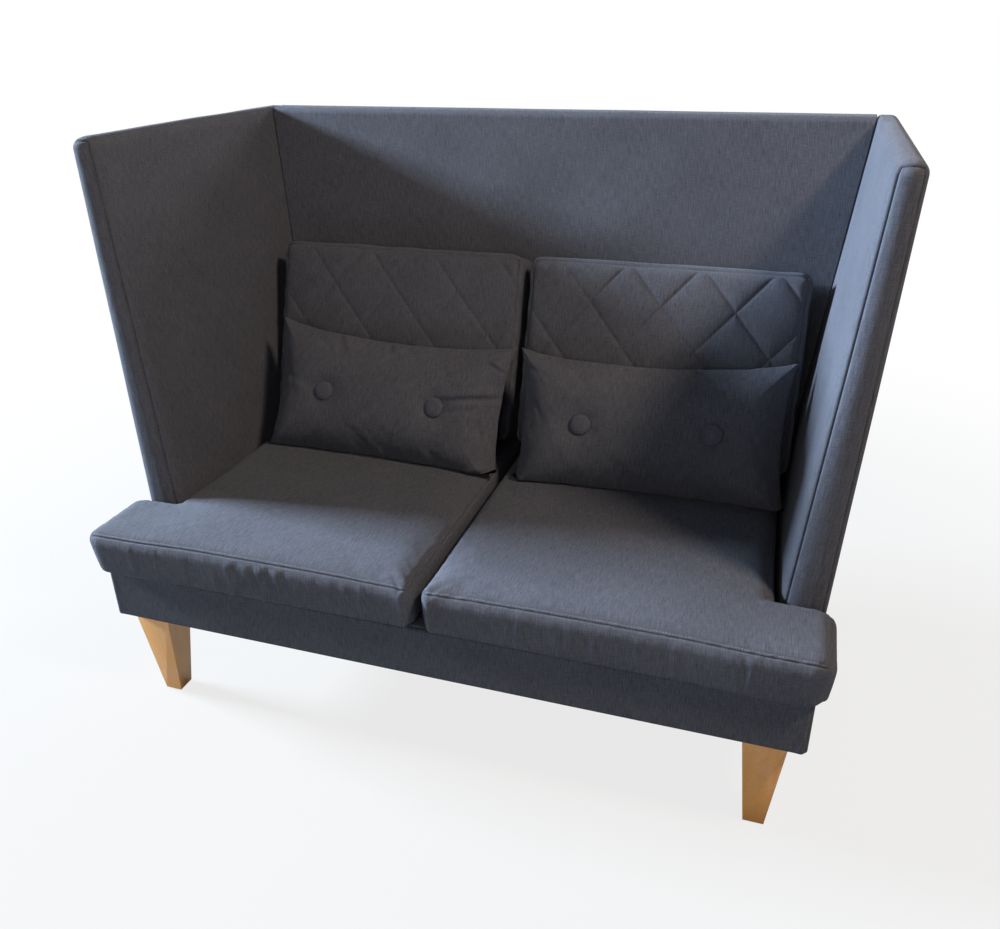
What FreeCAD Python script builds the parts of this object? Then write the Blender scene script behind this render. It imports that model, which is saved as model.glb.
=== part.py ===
# High-back sofa: an upholstered base on four tapered legs, two side wings, a tall back and six loose cushions.
# +Z is up, the sofa faces -Y, and +X is to the right when looking at its front.
# The origin is on the floor, under the middle of the bounding box. All sizes are millimetres.
import FreeCAD
import Part
import math
import os

# Base, legs and the height of the upholstered panels
PANEL_TOP = 1190.0
BASE_WIDTH = 1440.0
BASE_DEPTH = 845.0
BASE_HEIGHT = 119.0
BASE_CORNER = 10.0
LEG_HEIGHT = 226.0
LEG_TOP_SIDE = 82.0
LEG_FOOT_SIDE = 39.0
LEG_INSET_SIDE = 70.0
LEG_INSET_FRONT = 63.0
GLIDE_HEIGHT = 3.0
GLIDE_DIAMETER = 28.0
GLIDE_PIN = 5.0
GLIDE_PIN_LENGTH = 14.0

# Side wings, measured to the outside of the cover
WING_SETBACK = 160.0
WING_FRONT_LEAN = 31.0
WING_PROUD = 5.0
WING_FLARE = 41.0
WING_FOOT_FRONT = 86.0
WING_HEAD_FRONT = 52.0
WING_FOOT_REAR = 106.0
WING_HEAD_REAR = 46.0
BAND_DEPTH = 8.0

# Back, measured to the outside of the cover
BACK_LEAN = 84.0
BACK_FOOT = 73.0
BACK_HEAD = 60.0
BACK_CORNER = 7.0
PANEL_GAP = 2.0

# Soft layers and the clearance between them
SKIN = 2.0
FIT = 0.8
PANEL_CORNER = 18.0
PANEL_ROUND = 14.0
PANEL_WADDING = 4.0
BASE_WADDING = 4.0
FRONT_FOAM = 24.0
TOP_FOAM = 24.0
REAR_FOAM = 16.0
END_FOAM = 8.0

# Wooden frame
RAIL = 32.0
BLOCK = 80.0
BLOCK_HEIGHT = 70.0
CENTRE_RAIL = 40.0
CENTRE_RAIL_HEIGHT = 60.0
POST = 45.0
WING_FRAME = 24.0
BACK_FRAME = 25.0
PANEL_RAIL = 45.0
FOOT_RAIL = 75.0
MIDDLE_RAIL = 45.0
MIDDLE_RAIL_HEIGHT = 780.0
BOARD = 3.0

# Seat deck
WEBBING_THICKNESS = 2.5
WEBBING_WIDTH = 60.0
WEBBING_PITCH = 104.0
WEBBING_COUNT = 12
WEBBING_REBATE = 10.0
DECK_PAD = 12.0
COVER_RETURN = 36.0

# Bolts
BOLT = 8.0
BOLT_FIT = 0.25
BOLT_HEAD = 14.0
BOLT_HEAD_HEIGHT = 6.0
BOLT_RECESS = 40.0
BOLT_GRIP = 50.0
BOLT_END = 60.0
BACK_BOLT_NEAR = 180.0
BACK_BOLT_FAR = 520.0
CORNER_BOLT_LOW = 620.0
CORNER_BOLT_HIGH = 1050.0
CORNER_BOLT_RECESS = 8.0
SOFT_HOLE = 1.5
LEG_BOLT_GRIP = 50.0
TEE_FLANGE = 22.0
TEE_FLANGE_THICKNESS = 1.6
TEE_BARREL = 11.0
TEE_BARREL_LENGTH = 14.0

# Loose seat cushions
SEAT_OVERHANG = 25.0
SEAT_EDGE = 95.0
SEAT_CROWN = 16.0
SEAT_EDGE_CROWN = 4.0
SEAT_GAP = 6.0
SEAT_CLEARANCE = 3.0
SEAT_CORNER = 20.0
SEAT_LOWER_ROUND = 12.0
SEAT_DRAW = 3.0

# Loose back cushions and lumbar pillows
CUSHION_LEAN = 18.0
CUSHION_GAP = 0.4
CUSHION_SKIN = 1.5
BACK_CUSHION_WIDTH = 622.0
BACK_CUSHION_HEIGHT = 438.0
BACK_CUSHION_THICKNESS = 118.0
BACK_CUSHION_CROWN = 25.0
BACK_CUSHION_CORNER = 30.0
BACK_CUSHION_DRAW = 5.0
BACK_CUSHION_SINK = 18.0
BACK_CUSHION_RIGHT_X = 322.0
BACK_CUSHION_LEFT_X = -321.0
QUILT_LAYER = 9.0
QUILT_PITCH = 161.0
QUILT_HEIGHT = 189.0
QUILT_CHANNEL_DEPTH = 6.0
QUILT_CHANNEL_WIDTH = 5.0
LUMBAR_WIDTH = 598.0
LUMBAR_HEIGHT = 326.0
LUMBAR_THICKNESS = 146.0
LUMBAR_EDGE = 12.0
LUMBAR_FULLEST = 48.0
LUMBAR_EDGE_FILL = 4.0
LUMBAR_LEAN_MORE = 5.0
LUMBAR_NEST = 11.0
LUMBAR_DRAW = 13.0
LUMBAR_SINK = 36.0
LUMBAR_RIGHT_X = 333.0
LUMBAR_TILT = 2.0
LUMBAR_LEFT_X = -287.0
BUTTON_DIAMETER = 46.0
BUTTON_HEIGHT = 13.0
BUTTON_RIM = 5.0
BUTTON_SPACING = 280.0
TUFT_DEPTH = 24.0
TUFT_FLARE = 34.0
TUFT_CLEARANCE = 2.0

# Levels and faces that follow from the sizes above
DECK = LEG_HEIGHT + BASE_HEIGHT
OVERALL_DEPTH = SEAT_OVERHANG + BASE_DEPTH + BACK_LEAN
FRONT = SEAT_OVERHANG - OVERALL_DEPTH / 2
REAR = FRONT + BASE_DEPTH
HALF = BASE_WIDTH / 2
SEAM = DECK + SEAT_EDGE
REST = SEAM + SEAT_CROWN + CUSHION_GAP
FRAME_SET = SKIN + FIT + PANEL_WADDING + FIT
RAIL_SET = SKIN + FIT + BASE_WADDING
RAIL_FOOT = LEG_HEIGHT + SKIN
RAIL_TOP = DECK - SKIN
WEBBING_SEAT = RAIL_TOP - DECK_PAD - WEBBING_THICKNESS
LEG_X = HALF - LEG_INSET_SIDE
LEG_FRONT_Y = FRONT + LEG_INSET_FRONT
LEG_REAR_Y = REAR - LEG_INSET_FRONT
SINE = math.sin(math.radians(CUSHION_LEAN))
COSINE = math.cos(math.radians(CUSHION_LEAN))

nodes = {}


def vec(x, y, z):
    return FreeCAD.Vector(x, y, z)


def lerp(a, b, t):
    return a + (b - a) * t


def lean(z):
    """Share of the way from the deck to the top of the panels."""
    return (z - DECK) / (PANEL_TOP - DECK)


def wing_outer_x(z):
    return HALF + WING_PROUD + WING_FLARE * lean(z)


def wing_front_y(z):
    return FRONT + WING_SETBACK + WING_FRONT_LEAN * lean(z)


def rear_y(z):
    return REAR + BACK_LEAN * lean(z)


def wing_inner_x(y, z):
    """Inner face of a wing: its thickness changes along the depth and with the height."""
    front = lerp(WING_FOOT_FRONT, WING_HEAD_FRONT, lean(z))
    rear = lerp(WING_FOOT_REAR, WING_HEAD_REAR, lean(z))
    along = (y - wing_front_y(z)) / (rear_y(z) - wing_front_y(z))
    return wing_outer_x(z) - lerp(front, rear, along)


def back_front_y(z):
    return rear_y(z) - lerp(BACK_FOOT, BACK_HEAD, lean(z))


def block(x0, x1, y0, y1, z0, z1):
    return Part.makeBox(x1 - x0, y1 - y0, z1 - z0, vec(x0, y0, z0))


def cylinder(diameter, length, x, y, z, direction=(0, 0, 1)):
    return Part.makeCylinder(diameter / 2, length, vec(x, y, z), vec(*direction))


def hexahedron(lower, upper):
    """Solid with six flat faces between two quadrilaterals."""
    loops = [lower, upper]
    for i in range(4):
        j = (i + 1) % 4
        loops.append([lower[i], lower[j], upper[j], upper[i]])
    faces = [Part.Face(Part.makePolygon(loop + loop[:1])) for loop in loops]
    solid = Part.makeSolid(Part.Shell(faces))
    if solid.Volume < 0:
        solid.reverse()
    return solid


def leaning_block(z0, z1, x_low, x_high, y_low, y_high):
    """Block whose four sides are functions of the height."""
    loops = []
    for z in (z0, z1):
        loops.append([
            vec(x_low(z), y_low(z), z),
            vec(x_high(z), y_low(z), z),
            vec(x_high(z), y_high(z), z),
            vec(x_low(z), y_high(z), z),
        ])
    return hexahedron(loops[0], loops[1])


def rounded_wire(corners, radii, draws, z):
    """Closed outline at height z with an arc at each corner; a side with a draw bows inwards by it."""
    points = [vec(x, y, z) for x, y in corners]
    arcs = []
    for i, point in enumerate(points):
        to_last = (points[i - 1] - point).normalize()
        to_next = (points[(i + 1) % len(points)] - point).normalize()
        half = to_last.getAngle(to_next) / 2
        reach = radii[i] / math.tan(half)
        inward = (to_last + to_next).normalize()
        middle = point + inward * (radii[i] / math.sin(half) - radii[i])
        arcs.append((point + to_last * reach, middle, point + to_next * reach))
    edges = []
    for i, (start, middle, end) in enumerate(arcs):
        following = arcs[(i + 1) % len(arcs)][0]
        edges.append(Part.Arc(start, middle, end).toShape())
        if draws[i]:
            along = (following - end).normalize()
            bow = (end + following) * 0.5 + vec(-along.y, along.x, 0) * draws[i]
            edges.append(Part.Arc(end, bow, following).toShape())
        else:
            edges.append(Part.LineSegment(end, following).toShape())
    return Part.Wire(edges)


def rounded_top(radius):
    """Steps of a quarter round: how far each step lies in from the side and below the top."""
    steps = []
    for degrees in (0, 30, 60, 90):
        angle = math.radians(degrees)
        steps.append((radius * (1 - math.cos(angle)), radius * (1 - math.sin(angle))))
    return steps


def mirrored(shape):
    return shape.mirror(vec(0, 0, 0), vec(1, 0, 0))


def both_sides(name, right):
    nodes[name.replace("SIDE", "right")] = right
    nodes[name.replace("SIDE", "left")] = mirrored(right)


# Soft outlines of the wings and the back

def wing_section(z, inset):
    front = wing_front_y(z)
    rear = rear_y(z)
    outer = wing_outer_x(z) - inset
    corners = [
        (wing_inner_x(front, z) + inset, front + inset),
        (outer, front + inset),
        (outer, rear - inset),
        (wing_inner_x(rear, z) + inset, rear - inset),
    ]
    return rounded_wire(corners, [PANEL_CORNER - inset] * 4, [0] * 4, z)


def wing_body(inset, foot):
    wires = [wing_section(foot, inset)]
    for tuck, below in rounded_top(PANEL_ROUND - inset):
        wires.append(wing_section(PANEL_TOP - inset - below, inset + tuck))
    return Part.makeLoft(wires, True, True)


def back_section(z, inset, tuck):
    front = back_front_y(z)
    rear = rear_y(z)
    front_end = wing_inner_x(front, z) - PANEL_GAP - inset
    rear_end = wing_inner_x(rear, z) - PANEL_GAP - inset
    corners = [
        (-front_end, front + inset + tuck),
        (front_end, front + inset + tuck),
        (rear_end, rear - inset - tuck),
        (-rear_end, rear - inset - tuck),
    ]
    return rounded_wire(corners, [BACK_CORNER - inset] * 4, [0] * 4, z)


def back_body(inset, foot):
    wires = [back_section(foot, inset, 0)]
    for tuck, below in rounded_top(PANEL_ROUND - inset):
        wires.append(back_section(PANEL_TOP - inset - below, inset, tuck))
    return Part.makeLoft(wires, True, True)


# Base

def base_outline(inset, z):
    corners = [
        (-HALF + inset, FRONT + inset),
        (HALF - inset, FRONT + inset),
        (HALF - inset, REAR - inset),
        (-HALF + inset, REAR - inset),
    ]
    return rounded_wire(corners, [BASE_CORNER - inset] * 4, [0] * 4, z)


def base_prism(inset, z0, z1):
    return Part.Face(base_outline(inset, z0)).extrude(vec(0, 0, z1 - z0))


rail_x = HALF - RAIL_SET
rail_front = FRONT + RAIL_SET
rail_rear = REAR - RAIL_SET
well_x = rail_x - RAIL
well_front = rail_front + RAIL
well_rear = rail_rear - RAIL

side_rail = block(well_x, rail_x, rail_front, rail_rear, RAIL_FOOT, RAIL_TOP)
front_rail = block(-well_x, well_x, rail_front, well_front, RAIL_FOOT, WEBBING_SEAT)
rear_rail = block(-well_x, well_x, well_rear, rail_rear, RAIL_FOOT, RAIL_TOP)
rebate = block(-well_x, well_x, well_rear, well_rear + WEBBING_REBATE, WEBBING_SEAT, RAIL_TOP)
rear_rail = rear_rail.cut(rebate)
centre_rail = block(-CENTRE_RAIL / 2, CENTRE_RAIL / 2, well_front, well_rear,
                    RAIL_FOOT, RAIL_FOOT + CENTRE_RAIL_HEIGHT)

base_cover = base_prism(0, LEG_HEIGHT, DECK).cut(base_prism(SKIN, RAIL_FOOT, RAIL_TOP))
opening = block(-HALF + COVER_RETURN, HALF - COVER_RETURN, FRONT + COVER_RETURN, REAR - COVER_RETURN,
                LEG_HEIGHT, RAIL_FOOT)
base_cover = base_cover.cut(opening)
wadding = base_prism(SKIN + FIT, RAIL_FOOT, RAIL_TOP).cut(
    block(-rail_x, rail_x, rail_front, rail_rear, RAIL_FOOT, RAIL_TOP))
dust_cover = block(-HALF + COVER_RETURN, HALF - COVER_RETURN, FRONT + COVER_RETURN, REAR - COVER_RETURN,
                   LEG_HEIGHT, RAIL_FOOT)
deck_pad = block(-well_x, well_x, rail_front, well_rear + WEBBING_REBATE,
                 WEBBING_SEAT + WEBBING_THICKNESS, RAIL_TOP)

straps = []
for i in range(WEBBING_COUNT):
    x = (i - (WEBBING_COUNT - 1) / 2) * WEBBING_PITCH
    straps.append(block(x - WEBBING_WIDTH / 2, x + WEBBING_WIDTH / 2, rail_front, well_rear + WEBBING_REBATE,
                        WEBBING_SEAT, WEBBING_SEAT + WEBBING_THICKNESS))

# Legs, each on a hanger bolt that runs up through a corner block into a tee nut

block_top = RAIL_FOOT + BLOCK_HEIGHT
leg_places = {
    "front_left": (-LEG_X, LEG_FRONT_Y),
    "front_right": (LEG_X, LEG_FRONT_Y),
    "rear_left": (-LEG_X, LEG_REAR_Y),
    "rear_right": (LEG_X, LEG_REAR_Y),
}
corner_blocks = []
leg_bolts = []
tee_nuts = []
glides = []


def square(side, x, y, z):
    half = side / 2
    return [vec(x - half, y - half, z), vec(x + half, y - half, z),
            vec(x + half, y + half, z), vec(x - half, y + half, z)]


for place, (x, y) in leg_places.items():
    bolt_foot = LEG_HEIGHT - LEG_BOLT_GRIP
    bolt_top = block_top + TEE_FLANGE_THICKNESS
    leg = hexahedron(square(LEG_FOOT_SIDE, x, y, GLIDE_HEIGHT), square(LEG_TOP_SIDE, x, y, LEG_HEIGHT))
    leg = leg.cut(cylinder(BOLT + 2 * BOLT_FIT, LEG_BOLT_GRIP, x, y, bolt_foot))
    leg = leg.cut(cylinder(GLIDE_PIN + 2 * BOLT_FIT, GLIDE_PIN_LENGTH + BOLT_FIT, x, y, GLIDE_HEIGHT))
    nodes["leg_" + place] = leg
    leg_bolts.append(cylinder(BOLT, bolt_top - bolt_foot, x, y, bolt_foot))
    glide = cylinder(GLIDE_DIAMETER, GLIDE_HEIGHT, x, y, 0)
    glides.append(glide.fuse(cylinder(GLIDE_PIN, GLIDE_PIN_LENGTH, x, y, GLIDE_HEIGHT)))
    x_near = math.copysign(well_x, x)
    x_far = math.copysign(well_x - BLOCK, x)
    y_near = well_front if y < (FRONT + REAR) / 2 else well_rear
    y_far = y_near + BLOCK if y < (FRONT + REAR) / 2 else y_near - BLOCK
    corner = block(min(x_near, x_far), max(x_near, x_far), min(y_near, y_far), max(y_near, y_far),
                   RAIL_FOOT, block_top)
    hole = cylinder(BOLT + 2 * BOLT_FIT, bolt_top - bolt_foot, x, y, bolt_foot)
    pocket = cylinder(TEE_BARREL + 2 * BOLT_FIT, TEE_BARREL_LENGTH, x, y, block_top - TEE_BARREL_LENGTH)
    corner_blocks.append(corner.cut(hole.fuse(pocket)))
    nut = cylinder(TEE_BARREL, TEE_BARREL_LENGTH, x, y, block_top - TEE_BARREL_LENGTH)
    nut = nut.fuse(cylinder(TEE_FLANGE, TEE_FLANGE_THICKNESS, x, y, block_top))
    tee_nuts.append(nut.cut(hole))
    dust_cover = dust_cover.cut(hole)

# Wing frames, standing on the base and bolted from below

panel_head = PANEL_TOP - TOP_FOAM


def wing_frame_outer(z):
    return wing_outer_x(z) - FRAME_SET


def wing_frame_inner(z):
    return wing_frame_outer(z) - WING_FRAME


def wing_board_inner(z):
    return wing_frame_inner(z) - BOARD


def wing_frame_front(z):
    return wing_front_y(z) + FRONT_FOAM


def wing_frame_rear(z):
    return rear_y(z) - REAR_FOAM


def behind_front_post(z):
    return wing_frame_front(z) + POST


def before_rear_post(z):
    return wing_frame_rear(z) - POST


wing_front_post = leaning_block(DECK, panel_head, wing_frame_inner, wing_frame_outer,
                                wing_frame_front, behind_front_post)
wing_rear_post = leaning_block(DECK, panel_head, wing_frame_inner, wing_frame_outer,
                               before_rear_post, wing_frame_rear)
wing_top_rail = leaning_block(panel_head - PANEL_RAIL, panel_head, wing_frame_inner, wing_frame_outer,
                              behind_front_post, before_rear_post)
wing_foot_rail = leaning_block(DECK, DECK + FOOT_RAIL, wing_frame_inner, wing_frame_outer,
                               behind_front_post, before_rear_post)
wing_board = leaning_block(DECK, panel_head, wing_board_inner, wing_frame_inner,
                           wing_frame_front, wing_frame_rear)
wing_hollow = leaning_block(DECK - SKIN, panel_head + FIT,
                            lambda z: wing_board_inner(z) - FIT, lambda z: wing_frame_outer(z) + FIT,
                            lambda z: wing_frame_front(z) - FIT, lambda z: wing_frame_rear(z) + FIT)
wing_foam = wing_body(SKIN + FIT, DECK).cut(wing_hollow)
wing_skin = wing_body(0, DECK).cut(wing_body(SKIN, DECK - SKIN))
band_region = leaning_block(DECK - SKIN, PANEL_TOP + SKIN, lambda z: 0, lambda z: BASE_WIDTH,
                            lambda z: FRONT, lambda z: wing_front_y(z) + BAND_DEPTH)
wing_band = wing_skin.common(band_region)
wing_cover = wing_skin.cut(band_region)

# Back frame between the wings


def back_frame_rear(z):
    return rear_y(z) - FRAME_SET


def back_frame_front(z):
    return back_frame_rear(z) - BACK_FRAME


def back_board_front(z):
    return back_frame_front(z) - BOARD


def back_end_at(z):
    return min(wing_inner_x(back_board_front(z), z), wing_inner_x(rear_y(z), z))


end_set = PANEL_GAP + SKIN + FIT + END_FOAM
end_foot = back_end_at(DECK) - end_set
end_head = back_end_at(PANEL_TOP) - end_set


def back_end(z):
    return lerp(end_foot, end_head, lean(z))


def inside_end_post(z):
    return back_end(z) - POST


def minus(function):
    return lambda z: -function(z)


def back_rail(z0, z1):
    return leaning_block(z0, z1, minus(inside_end_post), inside_end_post, back_frame_front, back_frame_rear)


back_post = leaning_block(DECK, panel_head, inside_end_post, back_end, back_frame_front, back_frame_rear)
back_foot_rail = back_rail(DECK, DECK + FOOT_RAIL)
back_board = leaning_block(DECK, panel_head, minus(back_end), back_end, back_board_front, back_frame_front)
back_hollow = leaning_block(DECK - SKIN, panel_head + FIT,
                            lambda z: -back_end(z) - FIT, lambda z: back_end(z) + FIT,
                            lambda z: back_board_front(z) - FIT, lambda z: back_frame_rear(z) + FIT)
back_foam = back_body(SKIN + FIT, DECK).cut(back_hollow)
back_cover = back_body(0, DECK).cut(back_body(SKIN, DECK - SKIN))

# Bolts: up through the base rails into the wings and the back, and across each rear corner


def upright_bolt(x, y):
    seat = RAIL_FOOT + BOLT_RECESS
    shank = cylinder(BOLT, DECK + BOLT_GRIP - seat, x, y, seat)
    return shank.fuse(cylinder(BOLT_HEAD, BOLT_HEAD_HEIGHT, x, y, seat - BOLT_HEAD_HEIGHT))


def upright_hole(x, y):
    seat = RAIL_FOOT + BOLT_RECESS
    shank = cylinder(BOLT + 2 * BOLT_FIT, DECK + BOLT_GRIP + BOLT_FIT - seat, x, y, seat)
    return shank.fuse(cylinder(BOLT_HEAD + 2 * SOFT_HOLE, BOLT_RECESS, x, y, RAIL_FOOT))


wing_bolt_x = (wing_frame_inner(DECK) + wing_frame_outer(DECK)) / 2
first_y = behind_front_post(DECK) + BOLT_END
last_y = before_rear_post(DECK) - BOLT_END
wing_bolts = []
for y in (first_y, (first_y + last_y) / 2, last_y):
    wing_bolts.append(upright_bolt(wing_bolt_x, y))
    side_rail = side_rail.cut(upright_hole(wing_bolt_x, y))
    wing_foot_rail = wing_foot_rail.cut(upright_hole(wing_bolt_x, y))
    soft_hole = cylinder(BOLT + 2 * SOFT_HOLE, SKIN, wing_bolt_x, y, RAIL_TOP)
    base_cover = base_cover.cut(soft_hole.fuse(mirrored(soft_hole)))
wing_bolts = wing_bolts + [mirrored(bolt) for bolt in wing_bolts]

back_bolt_y = (back_frame_front(DECK) + back_frame_rear(DECK)) / 2
back_bolts = []
for x in (-BACK_BOLT_FAR, -BACK_BOLT_NEAR, BACK_BOLT_NEAR, BACK_BOLT_FAR):
    back_bolts.append(upright_bolt(x, back_bolt_y))
    rear_rail = rear_rail.cut(upright_hole(x, back_bolt_y))
    back_foot_rail = back_foot_rail.cut(upright_hole(x, back_bolt_y))
    base_cover = base_cover.cut(cylinder(BOLT + 2 * SOFT_HOLE, SKIN, x, back_bolt_y, RAIL_TOP))

corner_bolts = []
for z in (CORNER_BOLT_LOW, CORNER_BOLT_HIGH):
    y = (back_frame_front(z) + wing_frame_rear(z)) / 2
    head_x = wing_frame_inner(z) + CORNER_BOLT_RECESS
    tip_x = inside_end_post(z) + BOLT
    shank = cylinder(BOLT, head_x - tip_x, tip_x, y, z, (1, 0, 0))
    corner_bolts.append(shank.fuse(cylinder(BOLT_HEAD, BOLT_HEAD_HEIGHT, head_x, y, z, (1, 0, 0))))
    hole = cylinder(BOLT + 2 * BOLT_FIT, head_x - tip_x + BOLT_FIT, tip_x - BOLT_FIT, y, z, (1, 0, 0))
    head_hole = cylinder(BOLT_HEAD + 2 * SOFT_HOLE, WING_FRAME, head_x, y, z, (1, 0, 0))
    soft_hole = cylinder(BOLT + 2 * SOFT_HOLE, head_x - tip_x, tip_x, y, z, (1, 0, 0))
    wing_rear_post = wing_rear_post.cut(hole.fuse(head_hole))
    back_post = back_post.cut(hole)
    wing_board = wing_board.cut(soft_hole)
    wing_foam = wing_foam.cut(soft_hole)
    wing_cover = wing_cover.cut(soft_hole)
    back_foam = back_foam.cut(soft_hole.fuse(mirrored(soft_hole)))
    back_cover = back_cover.cut(soft_hole.fuse(mirrored(soft_hole)))
corner_bolts = corner_bolts + [mirrored(bolt) for bolt in corner_bolts]

# Seat cushions: crowned on top, with an ear that wraps round in front of the wing


def seat_body(inset):
    middle = SEAT_GAP / 2 + inset
    side = HALF + SEAT_OVERHANG - inset
    front = FRONT - SEAT_OVERHANG + inset
    ear_rear = wing_front_y(DECK) - SEAT_CLEARANCE - inset
    rear = back_front_y(DECK) - SEAT_CLEARANCE - inset
    notch = wing_inner_x(ear_rear, DECK) - SEAT_CLEARANCE - inset
    notch_rear = wing_inner_x(rear, DECK) - SEAT_CLEARANCE - inset
    foot = DECK + CUSHION_GAP + inset
    edge = SEAM - inset
    corners = [(middle, front), (side, front), (side, ear_rear),
               (notch, ear_rear), (notch_rear, rear), (middle, rear)]
    corner = SEAT_CORNER - inset
    radii = [corner, corner, corner, SEAT_CORNER / 2 + inset, corner, corner]
    draws = [SEAT_DRAW, 0, 0, 0, SEAT_DRAW, 0]
    outline = rounded_wire(corners, radii, draws, foot)
    body = Part.Face(outline).extrude(vec(0, 0, SEAT_EDGE + SEAT_CROWN))
    lower = [line for line in body.Edges if line.BoundBox.ZMax < foot + CUSHION_GAP]
    body = body.makeFillet(SEAT_LOWER_ROUND - inset, lower)
    wires = []
    for y, crown in ((front - SEAT_CORNER, SEAT_EDGE_CROWN),
                     ((front + rear) / 2, SEAT_CROWN),
                     (rear + SEAT_CORNER, SEAT_EDGE_CROWN)):
        west = vec(middle - SEAT_CORNER, y, edge)
        east = vec(side + SEAT_CORNER, y, edge)
        top = vec((middle + side) / 2, y, edge + crown)
        west_foot = vec(west.x, y, foot - SEAT_CORNER)
        east_foot = vec(east.x, y, foot - SEAT_CORNER)
        wires.append(Part.Wire([
            Part.LineSegment(west_foot, east_foot).toShape(),
            Part.LineSegment(east_foot, east).toShape(),
            Part.Arc(east, top, west).toShape(),
            Part.LineSegment(west, west_foot).toShape(),
        ]))
    return body.common(Part.makeLoft(wires, True, False))


seat_core = seat_body(CUSHION_SKIN + FIT)
seat_cover = seat_body(0).cut(seat_body(CUSHION_SKIN))

# Back cushions, built upright with the front at y = 0, then leant against the back

below_rest = block(-BASE_WIDTH, BASE_WIDTH, 2 * FRONT, 2 * REAR, 0, REST)
lean_head = REST - BACK_CUSHION_SINK + BACK_CUSHION_HEIGHT * COSINE
lean_y = (back_front_y(lean_head) - CUSHION_GAP
          - BACK_CUSHION_THICKNESS * COSINE - BACK_CUSHION_HEIGHT * SINE)
lean_z = REST - BACK_CUSHION_SINK + BACK_CUSHION_THICKNESS * SINE


def leant(shape, x):
    """Turn an upright cushion back by the lean and set it on the seat; what presses into the seat is flat."""
    turned = shape.rotated(vec(0, 0, 0), vec(1, 0, 0), -CUSHION_LEAN)
    return turned.translated(vec(x, lean_y, lean_z))


def upright_outline(width, height, corner, draw, inset):
    corners = [(-width / 2 + inset, inset), (width / 2 - inset, inset),
               (width / 2 - inset, height - inset), (-width / 2 + inset, height - inset)]
    return rounded_wire(corners, [corner - inset] * 4, [draw] * 4, 0)


def back_cushion_body(inset, front_layer):
    outline = upright_outline(BACK_CUSHION_WIDTH, BACK_CUSHION_HEIGHT, BACK_CUSHION_CORNER,
                              BACK_CUSHION_DRAW, inset)
    reach = BACK_CUSHION_THICKNESS + 2 * BACK_CUSHION_CROWN
    prism = Part.Face(outline).extrude(vec(0, 0, reach))
    prism = prism.rotated(vec(0, 0, 0), vec(1, 0, 0), 90)
    prism = prism.translated(vec(0, BACK_CUSHION_THICKNESS - inset, 0))
    wires = []
    wide = BACK_CUSHION_WIDTH / 2 + BACK_CUSHION_CORNER
    levels = ((-BACK_CUSHION_CORNER, 0.2), (BACK_CUSHION_HEIGHT / 2, 1.0),
              (BACK_CUSHION_HEIGHT + BACK_CUSHION_CORNER, 0.2))
    for z, share in levels:
        west = vec(-wide, front_layer, z)
        east = vec(wide, front_layer, z)
        bulge = vec(0, front_layer - BACK_CUSHION_CROWN * share, z)
        west_rear = vec(-wide, 2 * BACK_CUSHION_THICKNESS, z)
        east_rear = vec(wide, 2 * BACK_CUSHION_THICKNESS, z)
        wires.append(Part.Wire([
            Part.Arc(west, bulge, east).toShape(),
            Part.LineSegment(east, east_rear).toShape(),
            Part.LineSegment(east_rear, west_rear).toShape(),
            Part.LineSegment(west_rear, west).toShape(),
        ]))
    return prism.common(Part.makeLoft(wires, True, False))


def quilt_channels():
    """Thin slabs along both diagonals of the diamonds, crossing on the top edge of the cushion."""
    diagonal = math.hypot(QUILT_PITCH, QUILT_HEIGHT) / 2
    across = math.degrees(math.atan2(QUILT_PITCH, QUILT_HEIGHT))
    reach = 2 * (BACK_CUSHION_WIDTH + BACK_CUSHION_HEIGHT)
    count = math.ceil((BACK_CUSHION_WIDTH + BACK_CUSHION_HEIGHT) / QUILT_PITCH)
    slabs = []
    for turn in (-across, across):
        for i in range(-count, count + 1):
            slab = block(-QUILT_CHANNEL_WIDTH / 2, QUILT_CHANNEL_WIDTH / 2,
                         -2 * BACK_CUSHION_CROWN, BACK_CUSHION_CROWN, -reach, diagonal)
            slab = slab.rotated(vec(0, 0, 0), vec(0, 1, 0), turn)
            slabs.append(slab.translated(vec((i + 0.5) * QUILT_PITCH, 0, BACK_CUSHION_HEIGHT)))
    return slabs


smooth_front = back_cushion_body(0, 0)
channel_floor = back_cushion_body(0, QUILT_CHANNEL_DEPTH)
quilted = smooth_front.cut(quilt_channels()).fuse(channel_floor)
back_core = back_cushion_body(CUSHION_SKIN + FIT, QUILT_LAYER + FIT)
back_inner = back_cushion_body(CUSHION_SKIN, QUILT_LAYER)

# Lumbar pillows: two crowned faces that meet in a thin edge, corners drawn out, two buttoned tufts

lumbar_y = LUMBAR_NEST - BACK_CUSHION_CROWN - CUSHION_GAP - LUMBAR_THICKNESS / 2
lumbar_foot = (REST - LUMBAR_SINK - lean_z + lumbar_y * SINE) / COSINE
lumbar_z = lumbar_foot + LUMBAR_HEIGHT / 2


def lens_arc(x, side, half_thickness, reach):
    """Arc that leaves the fullest point upright and runs up or down by reach to the thin edge."""
    radius = (half_thickness ** 2 + reach ** 2) / (2 * half_thickness)
    turn = math.asin(abs(reach) / radius) / 2
    fullest = vec(x, side * half_thickness, -LUMBAR_FULLEST)
    middle = vec(x, side * (half_thickness - radius * (1 - math.cos(turn))),
                 -LUMBAR_FULLEST + math.copysign(radius * math.sin(turn), reach))
    return Part.Arc(fullest, middle, vec(x, 0, -LUMBAR_FULLEST + reach)).toShape()


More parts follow.
